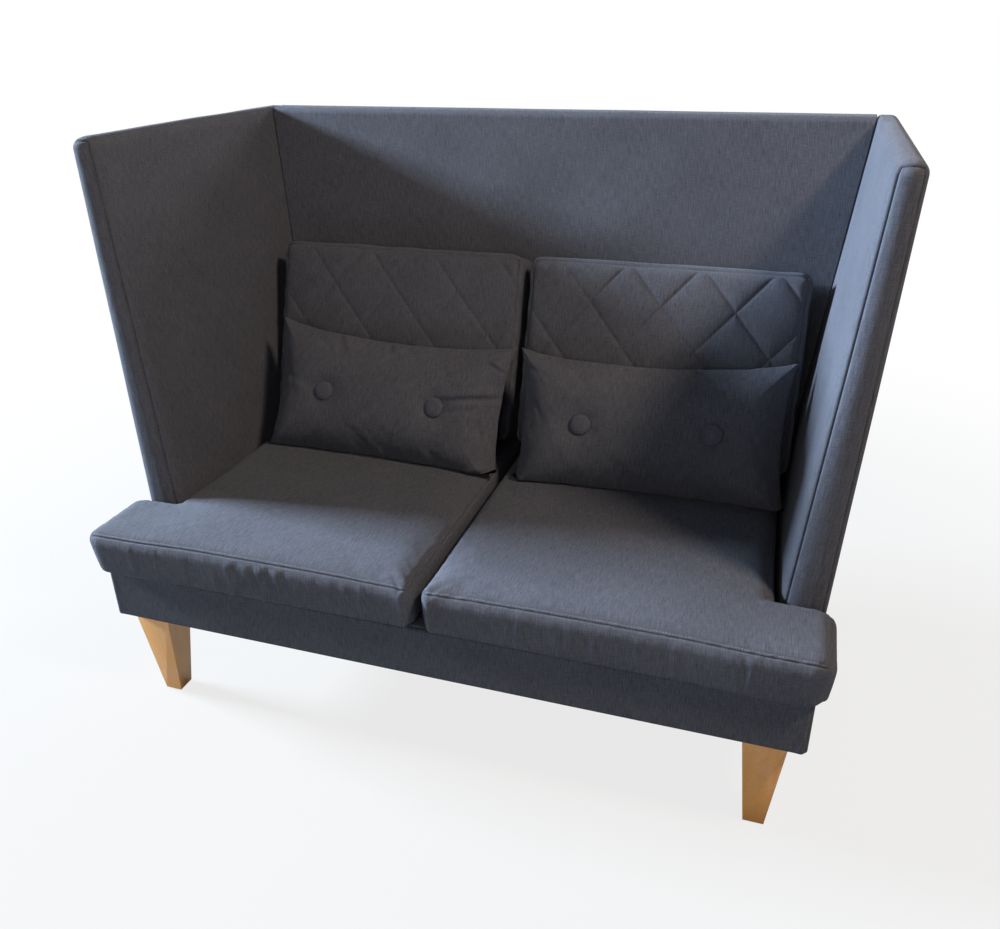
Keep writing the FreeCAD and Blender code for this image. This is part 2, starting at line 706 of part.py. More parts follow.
def lumbar_body(inset):
    """Loft through lens sections along the width; the sides then bow inwards between the corners.

    The filling stops short of the thin edges by a multiple of the inset from the faces.
    """
    stations = ((-1.0, 0.0), (-0.82, 0.52), (-0.42, 0.93), (0.0, 1.0), (0.42, 0.93), (0.82, 0.52), (1.0, 0.0))
    wires = []
    for along, swell in stations:
        x = along * (LUMBAR_WIDTH / 2 - inset * LUMBAR_EDGE_FILL)
        half_height = LUMBAR_HEIGHT / 2 - inset * LUMBAR_EDGE_FILL - LUMBAR_DRAW * (1 - along * along)
        half_thickness = (LUMBAR_EDGE + (LUMBAR_THICKNESS - LUMBAR_EDGE) * swell) / 2 - inset
        up = half_height + LUMBAR_FULLEST
        down = LUMBAR_FULLEST - half_height
        wires.append(Part.Wire([
            lens_arc(x, -1, half_thickness, down),
            lens_arc(x, -1, half_thickness, up),
            lens_arc(x, 1, half_thickness, up),
            lens_arc(x, 1, half_thickness, down),
        ]))
    body = Part.makeLoft(wires, True, False)
    radius = (LUMBAR_HEIGHT ** 2 / 4 + LUMBAR_DRAW ** 2) / (2 * LUMBAR_DRAW)
    for side in (-1, 1):
        centre = side * (LUMBAR_WIDTH / 2 - inset * LUMBAR_EDGE_FILL - LUMBAR_DRAW + radius)
        body = body.cut(cylinder(2 * radius, 2 * LUMBAR_THICKNESS, centre, -LUMBAR_THICKNESS, 0, (0, 1, 0)))
    for side in (-1, 1):
        floor = -LUMBAR_THICKNESS / 2 + TUFT_DEPTH + inset
        tuft = Part.makeCone(BUTTON_DIAMETER / 2 + TUFT_CLEARANCE + inset,
                             BUTTON_DIAMETER / 2 + TUFT_CLEARANCE + inset + TUFT_FLARE,
                             TUFT_DEPTH + TUFT_CLEARANCE, vec(side * BUTTON_SPACING / 2, floor, 0), vec(0, -1, 0))
        body = body.cut(tuft)
    return body


def lumbar_button(side):
    """Covered button: a low dome on a short straight rim, standing on the floor of its tuft."""
    radius = BUTTON_DIAMETER / 2
    dome = BUTTON_HEIGHT - BUTTON_RIM
    ball = (radius ** 2 + dome ** 2) / (2 * dome)
    x = side * BUTTON_SPACING / 2
    floor = -LUMBAR_THICKNESS / 2 + TUFT_DEPTH
    disc = cylinder(BUTTON_DIAMETER, BUTTON_HEIGHT, x, floor, 0, (0, -1, 0))
    return disc.common(Part.makeSphere(ball, vec(x, floor - BUTTON_HEIGHT + ball, 0)))


def on_seat(shape, x):
    """Tilt a pillow so that its outer end stands higher, then lean its top on the back cushion."""
    tilted = shape.rotated(vec(0, 0, 0), vec(0, 1, 0), -math.copysign(LUMBAR_TILT, x))
    tilted = tilted.rotated(vec(0, 0, 0), vec(1, 0, 0), -LUMBAR_LEAN_MORE)
    return leant(tilted.translated(vec(0, lumbar_y, lumbar_z)), x)


lumbar_skin = lumbar_body(0)
lumbar_core = lumbar_body(CUSHION_SKIN + FIT)
lumbar_inner = lumbar_body(CUSHION_SKIN)
core_floor = below_rest.translated(vec(0, 0, CUSHION_SKIN + FIT))
inner_floor = below_rest.translated(vec(0, 0, CUSHION_SKIN))

# Named nodes

nodes["base_front_rail"] = front_rail
nodes["base_rear_rail"] = rear_rail
both_sides("base_SIDE_rail", side_rail)
nodes["base_centre_rail"] = centre_rail
nodes["base_corner_blocks"] = corner_blocks
nodes["base_wadding"] = wadding
nodes["base_cover"] = base_cover
nodes["dust_cover"] = dust_cover
nodes["seat_webbing"] = straps
nodes["seat_deck_pad"] = deck_pad
nodes["leg_bolts"] = leg_bolts
nodes["leg_tee_nuts"] = tee_nuts
nodes["leg_glides"] = glides
both_sides("wing_SIDE_front_post", wing_front_post)
both_sides("wing_SIDE_rear_post", wing_rear_post)
both_sides("wing_SIDE_top_rail", wing_top_rail)
both_sides("wing_SIDE_foot_rail", wing_foot_rail)
both_sides("wing_SIDE_board", wing_board)
both_sides("wing_SIDE_foam", wing_foam)
both_sides("wing_SIDE_cover", wing_cover)
both_sides("wing_SIDE_front_band", wing_band)
both_sides("back_SIDE_post", back_post)
nodes["back_top_rail"] = back_rail(panel_head - PANEL_RAIL, panel_head)
nodes["back_middle_rail"] = back_rail(MIDDLE_RAIL_HEIGHT - MIDDLE_RAIL / 2, MIDDLE_RAIL_HEIGHT + MIDDLE_RAIL / 2)
nodes["back_foot_rail"] = back_foot_rail
nodes["back_board"] = back_board
nodes["back_foam"] = back_foam
nodes["back_cover"] = back_cover
nodes["wing_bolts"] = wing_bolts
nodes["back_bolts"] = back_bolts
nodes["corner_bolts"] = corner_bolts
both_sides("seat_cushion_SIDE_core", seat_core)
both_sides("seat_cushion_SIDE_cover", seat_cover)
for side, back_x, lumbar_x in (("left", BACK_CUSHION_LEFT_X, LUMBAR_LEFT_X),
                               ("right", BACK_CUSHION_RIGHT_X, LUMBAR_RIGHT_X)):
    inner = leant(back_inner, back_x).cut(inner_floor)
    nodes["back_cushion_" + side + "_core"] = leant(back_core, back_x).cut(core_floor)
    nodes["back_cushion_" + side + "_cover"] = leant(quilted, back_x).cut(below_rest).cut(inner)
    inner = on_seat(lumbar_inner, lumbar_x).cut(inner_floor)
    nodes["lumbar_" + side + "_core"] = on_seat(lumbar_core, lumbar_x).cut(core_floor)
    nodes["lumbar_" + side + "_cover"] = on_seat(lumbar_skin, lumbar_x).cut(below_rest).cut(inner)
    buttons = [lumbar_button(-1), lumbar_button(1)]
    nodes["lumbar_" + side + "_buttons"] = [on_seat(button, lumbar_x) for button in buttons]

os.makedirs("parts", exist_ok=True)
for name, shape in nodes.items():
    solids = shape if isinstance(shape, list) else shape.Solids
    whole = solids[0] if len(solids) == 1 else Part.makeCompound(solids)
    whole.exportStep("parts/" + name + ".step")
    print(name, len(solids), round(whole.Volume), whole.isValid())
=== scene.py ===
import math

import bmesh
import bpy
import numpy as np
from mathutils import Matrix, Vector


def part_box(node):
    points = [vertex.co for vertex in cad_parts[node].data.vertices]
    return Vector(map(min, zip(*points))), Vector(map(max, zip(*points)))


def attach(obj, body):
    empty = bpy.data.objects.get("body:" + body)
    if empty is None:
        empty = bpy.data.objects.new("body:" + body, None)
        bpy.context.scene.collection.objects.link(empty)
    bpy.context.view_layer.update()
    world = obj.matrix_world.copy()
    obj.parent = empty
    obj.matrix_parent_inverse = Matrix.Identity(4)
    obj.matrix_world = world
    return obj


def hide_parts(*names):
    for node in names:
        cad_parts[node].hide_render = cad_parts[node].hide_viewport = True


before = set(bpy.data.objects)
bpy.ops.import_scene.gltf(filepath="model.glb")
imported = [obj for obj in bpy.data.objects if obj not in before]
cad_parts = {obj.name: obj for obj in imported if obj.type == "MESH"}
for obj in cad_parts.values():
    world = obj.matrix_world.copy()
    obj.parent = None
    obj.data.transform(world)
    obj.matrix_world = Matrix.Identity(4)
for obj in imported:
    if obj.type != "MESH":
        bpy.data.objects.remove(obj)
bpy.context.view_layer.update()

bl_info = {
    "name": "High-back sofa",
    "version": (1, 0, 0),
    "blender": (4, 5, 0),
    "location": "View3D > Sidebar > Sofa",
    "description": "Upholstery, loose cushions, wood finish and studio of a high-back sofa",
    "category": "Add Mesh",
}

# Levels and faces of the construction, in metres: +Z is up and the sofa faces -Y
BASE_LOW, BASE_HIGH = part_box("base_cover")
DECK = BASE_HIGH.z
PANEL_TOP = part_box("back_cover")[1].z
HALF = BASE_HIGH.x
FRONT, REAR = BASE_LOW.y, BASE_HIGH.y
LEG_HEIGHT = BASE_LOW.z
PANEL_HEIGHT = PANEL_TOP - DECK
SIDES = {"right": 1, "left": -1}

# Wings and back, to the outside of the cover, from the deck to the top
WING_FRONT = -0.292
WING_FRONT_LEAN = 0.031
WING_OUTER = 0.725
WING_FLARE = 0.041
WING_THICK_FRONT = (0.086, 0.052)
WING_THICK_REAR = (0.106, 0.046)
BACK_LEAN = 0.084
BACK_THICK = (0.073, 0.060)
PANEL_GAP = 0.0006

# Padding of the base, wings and back: radii, rise of the faces across each axis, and seams
FOOT_ROUND = 0.007
WING_ROUND, WING_ROUND_TIGHT = 0.030, 0.006
WING_FRONT_ROUND, WING_REAR_ROUND = 0.036, 0.012
WING_TOP_ROUND, WING_TOP_ROUND_TIGHT = 0.022, 0.008
WING_CROWN = (0.0022, 0.0012, 0.0008)
BAND_SINK, COVER_SINK = 0.002, 0.004
BACK_ROUND = (0.003, 0.014, 0.014)
BACK_CROWN = (0.0, 0.003, 0.0006)
BASE_ROUND = (0.012, 0.012, 0.007)
BASE_FOOT_ROUND = 0.006
BASE_CROWN = (0.0012, 0.0014, 0.0012)
BASE_RECESS = 0.002
PADDING_WAVES = (0.31, 0.22, 0.47)
SEAM_WIDTH = 0.0036
WELT_SHARE, WELT_SETBACK, WELT_WIDTH = 0.25, 0.011, 0.006

# Loose cushions
SEAT_LOW, SEAT_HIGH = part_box("seat_cushion_right_cover")
SEAT_SEAM = 0.440
EAR_REAR = -0.295
NOTCH_FRONT, NOTCH_REAR = 0.636, 0.6203
REST = SEAT_HIGH.z + 0.0004
LEAN = math.radians(18.0)
LEAN_Y, LEAN_Z = 0.13057, 0.47486
BACK_CUSHION = (0.622, 0.118, 0.438)
BACK_CUSHION_X = {"right": 0.322, "left": -0.321}
LUMBAR = (0.598, 0.146, 0.326)
LUMBAR_X = {"right": 0.333, "left": -0.287}
LUMBAR_Y, LUMBAR_Z = -0.0874, 0.0773
LUMBAR_LEAN = math.radians(5.0)
LUMBAR_TILT = math.radians(2.0)
BUTTON_SPACING = 0.280
BUTTON_HEIGHT = 0.0095
TUFT_FLOOR = -0.049

# Roundings of the seat cushions, how far their tops rise and their overhanging edges droop
SEAT_OUTER_ROUND, SEAT_INNER_ROUND = 0.040, 0.024
SEAT_FRONT_ROUND, SEAT_REAR_ROUND = 0.032, 0.026
SEAT_TOP_ROUND, SEAT_TOP_REAR_ROUND, SEAT_FOOT_ROUND = 0.027, 0.023, 0.014
SEAT_CROWN = 0.008
SEAT_RISE = 0.0158
SEAT_DROOP = 0.009
SEAT_EAR_FADE = 0.16
SEAT_FOLD_SHARE = 0.65

# Filling by simulation: pressure, stiffness, bending and the longest movement, then the frames
# that it runs and the share of each movement along X, Y and Z that the cushion takes
SEAT_AIR, SEAT_FRAMES, SEAT_SHARE = (4.0, 14.0, 0.6, 0.022), 16, (0.22, 0.25, 0.5)
BACK_AIR, BACK_FRAMES, BACK_SHARE = (4.0, 14.0, 0.4, 0.012), 16, (0.5, 0.7, 0.5)
LUMBAR_AIR, LUMBAR_FRAMES, LUMBAR_SHARE = (5.0, 12.0, 0.15, 0.060), 20, (0.35, 1, 0.3)
LUMBAR_SLACK = 0.55

# Points nearer to each other than this are one
SAME_POINT = 2e-5

# Camera: place, yaw, pitch and roll, and the focal length as a share of the frame's width
CAMERA_PLACE = (0.5965, -1.7402, 1.3826)
CAMERA_TURN = (0.322, -0.457, -0.014)
FOCAL_SHARE = 0.90597
SENSOR_WIDTH = 36.0

# Floor: half of its side, its drop below the feet, its grey, and where it has turned white
FLOOR_HALF, FLOOR_DROP, FLOOR_GREY = 40.0, 0.0004, 0.26
FLOOR_NEAR, FLOOR_FAR = 1.0, 2.8

# Lights: place, target, size and colour; their powers are settings
LIGHTS = {
    "window": ((-7.0, -0.15, 3.3), (0.3, -0.1, 0.75), (1.7, 1.0), (0.69, 0.84, 1.0)),
    "lamp": ((2.4, -1.0, 3.5), (0.3, -0.1, 0.8), (0.6, 0.5), (1.0, 0.80, 0.60)),
    "front": ((0.1, -3.4, 1.8), (0.1, 0.0, 0.6), (1.6, 1.0), (1.0, 0.95, 0.88)),
    "behind": ((0.6, 3.6, 2.4), (0.0, 0.3, 0.8), (3.0, 1.0), (1.0, 1.0, 1.0)),
}


# Small mathematics on whole arrays

def mix(a, b, t):
    return a + (b - a) * t


def step(low, high, x):
    """Smooth step: 0 below low, 1 above high, a cubic between."""
    t = np.clip((x - low) / (high - low), 0, 1)
    return t * t * (3 - 2 * t)


def bell(x, width):
    """Gauss curve of the given width."""
    return np.exp(-(x / width) ** 2)


def graded(count, pinch):
    """Values from 0 to 1, closer together at both ends: t less a sine of t."""
    t = np.linspace(0, 1, count + 1)
    return t - pinch * np.sin(2 * math.pi * t) / (2 * math.pi)


def ripple(x, y, waves, seed):
    """Uneven padding: the mean of sine waves whose directions, lengths and phases come from the seed."""
    draw = np.random.default_rng(seed)
    total = np.zeros(np.broadcast(x, y).shape)
    for length in waves:
        turn, phase = draw.uniform(0, math.pi), draw.uniform(0, 2 * math.pi)
        along = x * math.cos(turn) + y * math.sin(turn)
        total = total + np.sin(2 * math.pi * along / length + phase)
    return total / len(waves)


# Grids and meshes

def cube_grids(lines):
    """Grids on the six faces of a unit cube, from the lines along each axis: {(axis, side): points}."""
    grids = {}
    for axis in range(3):
        first, second = [k for k in range(3) if k != axis]
        u, v = np.meshgrid(lines[first], lines[second], indexing="ij")
        for side in (0, 1):
            points = np.empty(u.shape + (3,))
            points[..., first], points[..., second], points[..., axis] = u, v, side
            grids[axis, side] = points
    return grids


def rounded(unit, size, radius):
    """Rounds a box: its sharp surface goes to the ellipsoids of the radii about the inner box.

    Returns the points as shares of the size, and the outward directions.
    """
    metric = unit * size
    inner = np.clip(metric, radius, size - radius)
    away = (metric - inner) / radius
    away = away / np.linalg.norm(away, axis=-1, keepdims=True)
    outward = away / radius
    outward = outward / np.linalg.norm(outward, axis=-1, keepdims=True)
    return (inner + radius * away) / size, outward


def weld(patches):
    """Joins grids into one surface: equal points become one; each grid keeps its cloth coordinates.

    Returns points, quads, cloth coordinates per corner and, for each grid, the numbers of its points.
    """
    points, quads, cloth, places, start = [], [], [], [], 0
    for grid, uv in patches:
        rows, columns = grid.shape[:2]
        number = start + np.arange(rows * columns).reshape(rows, columns)
        corners = (number[:-1, :-1], number[1:, :-1], number[1:, 1:], number[:-1, 1:])
        quads.append(np.stack(corners, -1).reshape(-1, 4))
        points.append(grid.reshape(-1, 3))
        cloth.append(uv.reshape(-1, 2))
        places.append(number)
        start += rows * columns
    points, quads, cloth = np.concatenate(points), np.concatenate(quads), np.concatenate(cloth)
    keys = np.round(points / SAME_POINT).astype(np.int64)
    _, first, place = np.unique(keys, axis=0, return_index=True, return_inverse=True)
    place = place.reshape(-1)
    return points[first], place[quads], cloth[quads], [place[number] for number in places]


def make_object(name, points, faces, cloth=None, outward_from=None):
    """Mesh object at the origin with smooth faces that point outwards.

    A closed surface has its normals worked out; an open one turns away from the point outward_from.
    """
    mesh = bpy.data.meshes.new(name)
    mesh.from_pydata(points.tolist(), [], faces.tolist())
    if cloth is not None:
        mesh.uv_layers.new(name="cloth").data.foreach_set("uv", cloth.astype(np.float32).reshape(-1))
    bm = bmesh.new()
    bm.from_mesh(mesh)
    if outward_from is None:
        bmesh.ops.recalc_face_normals(bm, faces=bm.faces[:])
    else:
        corners = points[faces]
        normal = np.cross(corners[:, 2] - corners[:, 0], corners[:, 3] - corners[:, 1])
        away = corners.mean(1) - np.asarray(outward_from)
        if (normal * away).sum() < 0:
            bmesh.ops.reverse_faces(bm, faces=bm.faces[:])
    bm.to_mesh(mesh)
    bm.free()
    mesh.polygons.foreach_set("use_smooth", np.ones(len(mesh.polygons), bool))
    obj = bpy.data.objects.new(name, mesh)
    bpy.context.scene.collection.objects.link(obj)
    return obj


def dress(obj, material, body, slot, *nodes):
    """Gives a piece its material and body, and hides the CAD nodes that it stands for; slot is not used.
    """
    obj.data.materials.append(bpy.data.materials[material])
    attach(obj, body)
    if nodes:
        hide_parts(*nodes)
    return obj


def mirrored(points, side):
    """Points of the right-hand piece, or their mirror image in the middle plane for the left."""
    return points * np.array([side, 1, 1])


def finer(grid):
    """Grid with a point put between each two, on a Catmull-Rom curve through four, on both axes."""
    for axis in (0, 1):
        grid = np.swapaxes(grid, 0, axis)
        padded = np.concatenate([2 * grid[:1] - grid[1:2], grid, 2 * grid[-1:] - grid[-2:-1]])
        middle = (9 * (padded[1:-2] + padded[2:-1]) - padded[:-3] - padded[3:]) / 16
        result = np.empty((2 * len(grid) - 1,) + grid.shape[1:])
        result[::2], result[1::2] = grid, middle
        grid = np.swapaxes(result, 0, axis)
    return grid


def between(lines):
    """Lines with one more put midway between each two."""
    result = np.empty(2 * len(lines) - 1)
    result[::2], result[1::2] = lines, (lines[1:] + lines[:-1]) / 2
    return result


def swell(jobs, frames):
    """Fills cushions with air: cloth with pressure and no gravity on coarse copies of the grids.

    Each job is (patches, pinned, pressure, stiffness, bending, cap): pinned gives each point a weight
    from 0, free, to 1, sewn down. Returns each grid's movements, no longer than the cap.
    """
    scene = bpy.context.scene
    running = []
    for number, (patches, pinned, pressure, stiffness, bending, cap) in enumerate(jobs):
        points, quads, _, places = weld(patches)
        obj = make_object("filling_%d" % number, points, quads)
        group = obj.vertex_groups.new(name="sewn")
        weights = np.round(np.clip(pinned(points), 0, 1) * 8) / 8
        for weight in np.unique(weights[weights > 0]):
            group.add(np.flatnonzero(weights == weight).tolist(), float(weight), "REPLACE")
        cloth = obj.modifiers.new("air", "CLOTH")
        cloth.settings.use_pressure = True
        cloth.settings.uniform_pressure_force = pressure
        cloth.settings.effector_weights.gravity = 0
        cloth.settings.tension_stiffness = stiffness
        cloth.settings.compression_stiffness = stiffness
        cloth.settings.shear_stiffness = stiffness / 3
        cloth.settings.bending_stiffness = bending
        cloth.settings.mass = 0.3
        cloth.settings.quality = 5
        cloth.settings.vertex_group_mass = "sewn"
        cloth.settings.pin_stiffness = 5
        cloth.point_cache.frame_start = 1
        cloth.point_cache.frame_end = frames
        running.append((obj, points, places, cap))
    for number in range(1, frames + 1):
        scene.frame_set(number)
    shapes = bpy.context.evaluated_depsgraph_get()
    results = []
    for obj, points, places, cap in running:
        moved = np.empty(points.size, np.float32)
        obj.evaluated_get(shapes).data.vertices.foreach_get("co", moved)
        move = moved.reshape(-1, 3).astype(float) - points
        length = np.linalg.norm(move, axis=1, keepdims=True)
        move = move * cap * np.tanh(length / cap) / np.maximum(length, 1e-9)
        results.append([move[place] for place in places])
    for obj, *_ in running:
        bpy.data.meshes.remove(obj.data)
    scene.frame_set(1)
    return results


# Materials

def add(tree, kind, inputs=None, **settings):
    """Adds a node, sets its properties, and fills its inputs with values or links."""
    node = tree.nodes.new(kind)
    for key, value in settings.items():
        setattr(node, key, value)
    for key, value in (inputs or {}).items():
        if isinstance(value, bpy.types.NodeSocket):
            tree.links.new(value, node.inputs[key])
        else:
            node.inputs[key].default_value = value
    return node


def math_node(tree, operation, first, second=0.0, third=0.0):
    return add(tree, "ShaderNodeMath", {0: first, 1: second, 2: third}, operation=operation).outputs[0]


def blend_colour(tree, factor, first, second, how="MIX"):
    node = add(tree, "ShaderNodeMix", {0: factor, 6: first, 7: second}, data_type="RGBA", blend_type=how)
    return node.outputs[2]


def new_group(name, inputs, outputs):
    """Empty shader node group with named sockets: {name: (type, default)}."""
    tree = bpy.data.node_groups.new(name, "ShaderNodeTree")
    for label, (kind, value) in inputs.items():
        socket = tree.interface.new_socket(name=label, in_out="INPUT", socket_type="NodeSocket" + kind)
        if value is not None:
            socket.default_value = value
    for label, kind in outputs.items():
        tree.interface.new_socket(name=label, in_out="OUTPUT", socket_type="NodeSocket" + kind)
    return tree, tree.nodes.new("NodeGroupInput"), tree.nodes.new("NodeGroupOutput")


def stretched_noise(tree, vector, stretch, detail):
    """Noise on coordinates multiplied by stretch."""
    scaled = add(tree, "ShaderNodeVectorMath", {0: vector, 1: stretch}, operation="MULTIPLY")
    noise = add(tree, "ShaderNodeTexNoise",
                {"Vector": scaled.outputs[0], "Scale": 1.0, "Detail": detail, "Roughness": 0.6})
    return noise.outputs["Fac"]


def weave_group():
    """Plain weave with melange yarns.

    Warp and weft are squared sines across the thread, over and under each other by the parity of
    their numbers. Each yarn's tone is a noise drawn out along it; slubs are a wider, longer noise.
    Painted shade darkens the colour in the hollows between the threads, and a faint painted
    highlight lightens their crowns.
    """
    tree, source, result = new_group(
        "melange_weave",
        {"Cloth": ("Vector", None), "Threads per metre": ("Float", 1100.0), "Slub": ("Float", 0.5),
         "Dark yarn": ("Color", (0.05, 0.05, 0.06, 1)), "Light yarn": ("Color", (0.2, 0.2, 0.22, 1))},
        {"Colour": "Color", "Roughness": "Float", "Height": "Float"})
    given = source.outputs
    scaled = add(tree, "ShaderNodeVectorMath", {0: given["Cloth"], "Scale": given["Threads per metre"]},
                 operation="SCALE").outputs[0]
    parts = add(tree, "ShaderNodeSeparateXYZ", {0: scaled})
    profiles, numbers = [], []
    for axis in (0, 1):
        turn = math_node(tree, "SINE", math_node(tree, "MULTIPLY", parts.outputs[axis], math.pi))
        profiles.append(math_node(tree, "MULTIPLY", turn, turn))
        numbers.append(math_node(tree, "FLOOR", parts.outputs[axis]))
    parity = math_node(tree, "FLOORED_MODULO", math_node(tree, "ADD", *numbers), 2.0)
    warp = stretched_noise(tree, scaled, (0.9, 0.05, 1.0), 2.0)
    weft = stretched_noise(tree, scaled, (0.05, 0.9, 1.0), 2.0)
    slub = stretched_noise(tree, scaled, (0.50, 0.032, 1.0), 2.0)
    cloud = stretched_noise(tree, given["Cloth"], (7.0, 7.0, 1.0), 3.0)
    yarn = add(tree, "ShaderNodeMix", {0: parity, 2: warp, 3: weft}).outputs[0]
    lifted = math_node(tree, "SUBTRACT", slub, 0.5)
    tone = math_node(tree, "MULTIPLY_ADD", lifted, given["Slub"], yarn)
    tone = math_node(tree, "MULTIPLY_ADD", math_node(tree, "SUBTRACT", cloud, 0.5), 0.16, tone)
    spread = add(tree, "ShaderNodeMapRange", {0: tone, 1: 0.25, 2: 0.78}).outputs[0]
    over = add(tree, "ShaderNodeMix", {0: parity, 2: profiles[0], 3: profiles[1]}).outputs[0]
    colour = blend_colour(tree, spread, given["Dark yarn"], given["Light yarn"])
    # Painted shade and highlight: colour is multiplied down in the hollows between threads and slightly
    # up on their crowns
    hollow = math_node(tree, "MULTIPLY_ADD", over, 0.35, 0.72)
    colour = blend_colour(tree, 1.0, colour, add(tree, "ShaderNodeCombineColor",
                          {0: hollow, 1: hollow, 2: hollow}).outputs[0], "MULTIPLY")
    height = math_node(tree, "MULTIPLY_ADD", lifted, 0.8, over)
    tree.links.new(colour, result.inputs["Colour"])
    tree.links.new(math_node(tree, "MULTIPLY_ADD", spread, -0.12, 0.92), result.inputs["Roughness"])
    tree.links.new(height, result.inputs["Height"])
    return tree


def grain_group():
    """Straight-grained wood along Z.

    Growth bands are sines of a warped distance across the grain, and pores are drawn-out noise.
    """
    tree, source, result = new_group(
        "wood_grain",
        {"Place": ("Vector", None), "Bands per metre": ("Float", 90.0),
         "Early wood": ("Color", (0.6, 0.4, 0.2, 1)), "Late wood": ("Color", (0.4, 0.25, 0.1, 1))},
        {"Colour": "Color", "Roughness": "Float", "Height": "Float"})
    given = source.outputs
    warp = stretched_noise(tree, given["Place"], (9.0, 9.0, 1.6), 2.0)
    parts = add(tree, "ShaderNodeSeparateXYZ", {0: given["Place"]})
    across = math_node(tree, "MULTIPLY_ADD", parts.outputs[1], 0.6, parts.outputs[0])
    across = math_node(tree, "MULTIPLY_ADD", warp, 0.12, across)
    band = math_node(tree, "SINE", math_node(tree, "MULTIPLY", math_node(
        tree, "MULTIPLY", across, given["Bands per metre"]), 2 * math.pi))
    fibre = stretched_noise(tree, given["Place"], (900.0, 900.0, 14.0), 3.0)
    fleck = stretched_noise(tree, given["Place"], (420.0, 420.0, 45.0), 2.0)
    tone = math_node(tree, "MULTIPLY_ADD", band, 0.16, 0.42)
    tone = math_node(tree, "MULTIPLY_ADD", math_node(tree, "SUBTRACT", fibre, 0.5), 0.9, tone)
    pores = add(tree, "ShaderNodeMapRange", {0: fleck, 1: 0.62, 2: 0.72}).outputs[0]
    tone = math_node(tree, "MULTIPLY_ADD", pores, 0.25, tone)
    spread = add(tree, "ShaderNodeMapRange", {0: tone, 1: 0.0, 2: 1.0}).outputs[0]
    colour = blend_colour(tree, spread, given["Early wood"], given["Late wood"])
    tree.links.new(colour, result.inputs["Colour"])
    tree.links.new(math_node(tree, "MULTIPLY_ADD", fibre, 0.18, 0.30), result.inputs["Roughness"])
    tree.links.new(math_node(tree, "MULTIPLY_ADD", pores, -0.6, fibre), result.inputs["Height"])
    return tree


def wear_group():
    """Handling marks and dust: a broken-up noise mask that lightens a colour and roughens it."""
    tree, source, result = new_group(
        "wear",
        {"Place": ("Vector", None), "Colour": ("Color", (0.5, 0.5, 0.5, 1)), "Amount": ("Float", 0.2),
         "Grain": ("Float", 40.0)},
        {"Colour": "Color", "Mask": "Float"})
    given = source.outputs
    scaled = add(tree, "ShaderNodeVectorMath", {0: given["Place"], "Scale": given["Grain"]},
                 operation="SCALE")
    broad = add(tree, "ShaderNodeTexNoise", {"Vector": scaled.outputs[0], "Scale": 0.15, "Detail": 3.0})
    fine = add(tree, "ShaderNodeTexNoise", {"Vector": scaled.outputs[0], "Scale": 1.0, "Detail": 5.0})
    both = math_node(tree, "MULTIPLY", broad.outputs["Fac"], fine.outputs["Fac"])
    mask = add(tree, "ShaderNodeMapRange", {0: both, 1: 0.22, 2: 0.42}).outputs[0]
    mask = math_node(tree, "MULTIPLY", mask, given["Amount"])
    lighter = blend_colour(tree, mask, given["Colour"], (0.75, 0.74, 0.72, 1))
    tree.links.new(lighter, result.inputs["Colour"])
    tree.links.new(mask, result.inputs["Mask"])
    return tree


def new_material(name, **constants):
    """Material with a Principled shader whose constant sockets are set: returns tree, shader."""
    material = bpy.data.materials.new(name)
    material.use_nodes = True
    tree = material.node_tree
    shader = tree.nodes["Principled BSDF"]
    for key, value in constants.items():
        shader.inputs[key.replace("_", " ")].default_value = value
    return tree, shader


def bump(tree, shader, height, strength, distance):
    node = add(tree, "ShaderNodeBump", {"Height": height, "Strength": strength, "Distance": distance})
    tree.links.new(node.outputs[0], shader.inputs["Normal"])


def woven_material(name, threads, slub, dark, light, relief, sheen):
    """Woven cloth on the piece's own cloth coordinates."""
    tree, shader = new_material(name, Sheen_Weight=sheen, Sheen_Roughness=0.3, Specular_IOR_Level=0.1)
    shader.inputs["Sheen Tint"].default_value = (0.75, 0.8, 0.95, 1)
    cloth = add(tree, "ShaderNodeUVMap", uv_map="cloth").outputs[0]
    weave = add(tree, "ShaderNodeGroup", node_tree=bpy.data.node_groups["melange_weave"])
    tree.links.new(cloth, weave.inputs["Cloth"])
    for key, value in (("Threads per metre", threads), ("Slub", slub),
                       ("Dark yarn", dark), ("Light yarn", light)):
        weave.inputs[key].default_value = value
    tree.links.new(weave.outputs["Colour"], shader.inputs["Base Color"])
    tree.links.new(weave.outputs["Roughness"], shader.inputs["Roughness"])
    bump(tree, shader, weave.outputs["Height"], 0.6, relief)


def wooden_material(name, bands, early, late, coat):
    """Wood on object coordinates, with a thin lacquer where coat is above 0."""
    tree, shader = new_material(name, Coat_Weight=coat, Coat_Roughness=0.25, Specular_IOR_Level=0.25)
    place = add(tree, "ShaderNodeTexCoord").outputs["Object"]
    grain = add(tree, "ShaderNodeGroup", node_tree=bpy.data.node_groups["wood_grain"])
    tree.links.new(place, grain.inputs["Place"])
    for key, value in (("Bands per metre", bands), ("Early wood", early), ("Late wood", late)):
        grain.inputs[key].default_value = value
    worn = add(tree, "ShaderNodeGroup", {"Place": place, "Colour": grain.outputs["Colour"]},
               node_tree=bpy.data.node_groups["wear"])
    worn.inputs["Amount"].default_value = 0.12
    worn.inputs["Grain"].default_value = 120.0
    tree.links.new(worn.outputs["Colour"], shader.inputs["Base Color"])
    tree.links.new(grain.outputs["Roughness"], shader.inputs["Roughness"])
    bump(tree, shader, grain.outputs["Height"], 0.25, 0.0003)


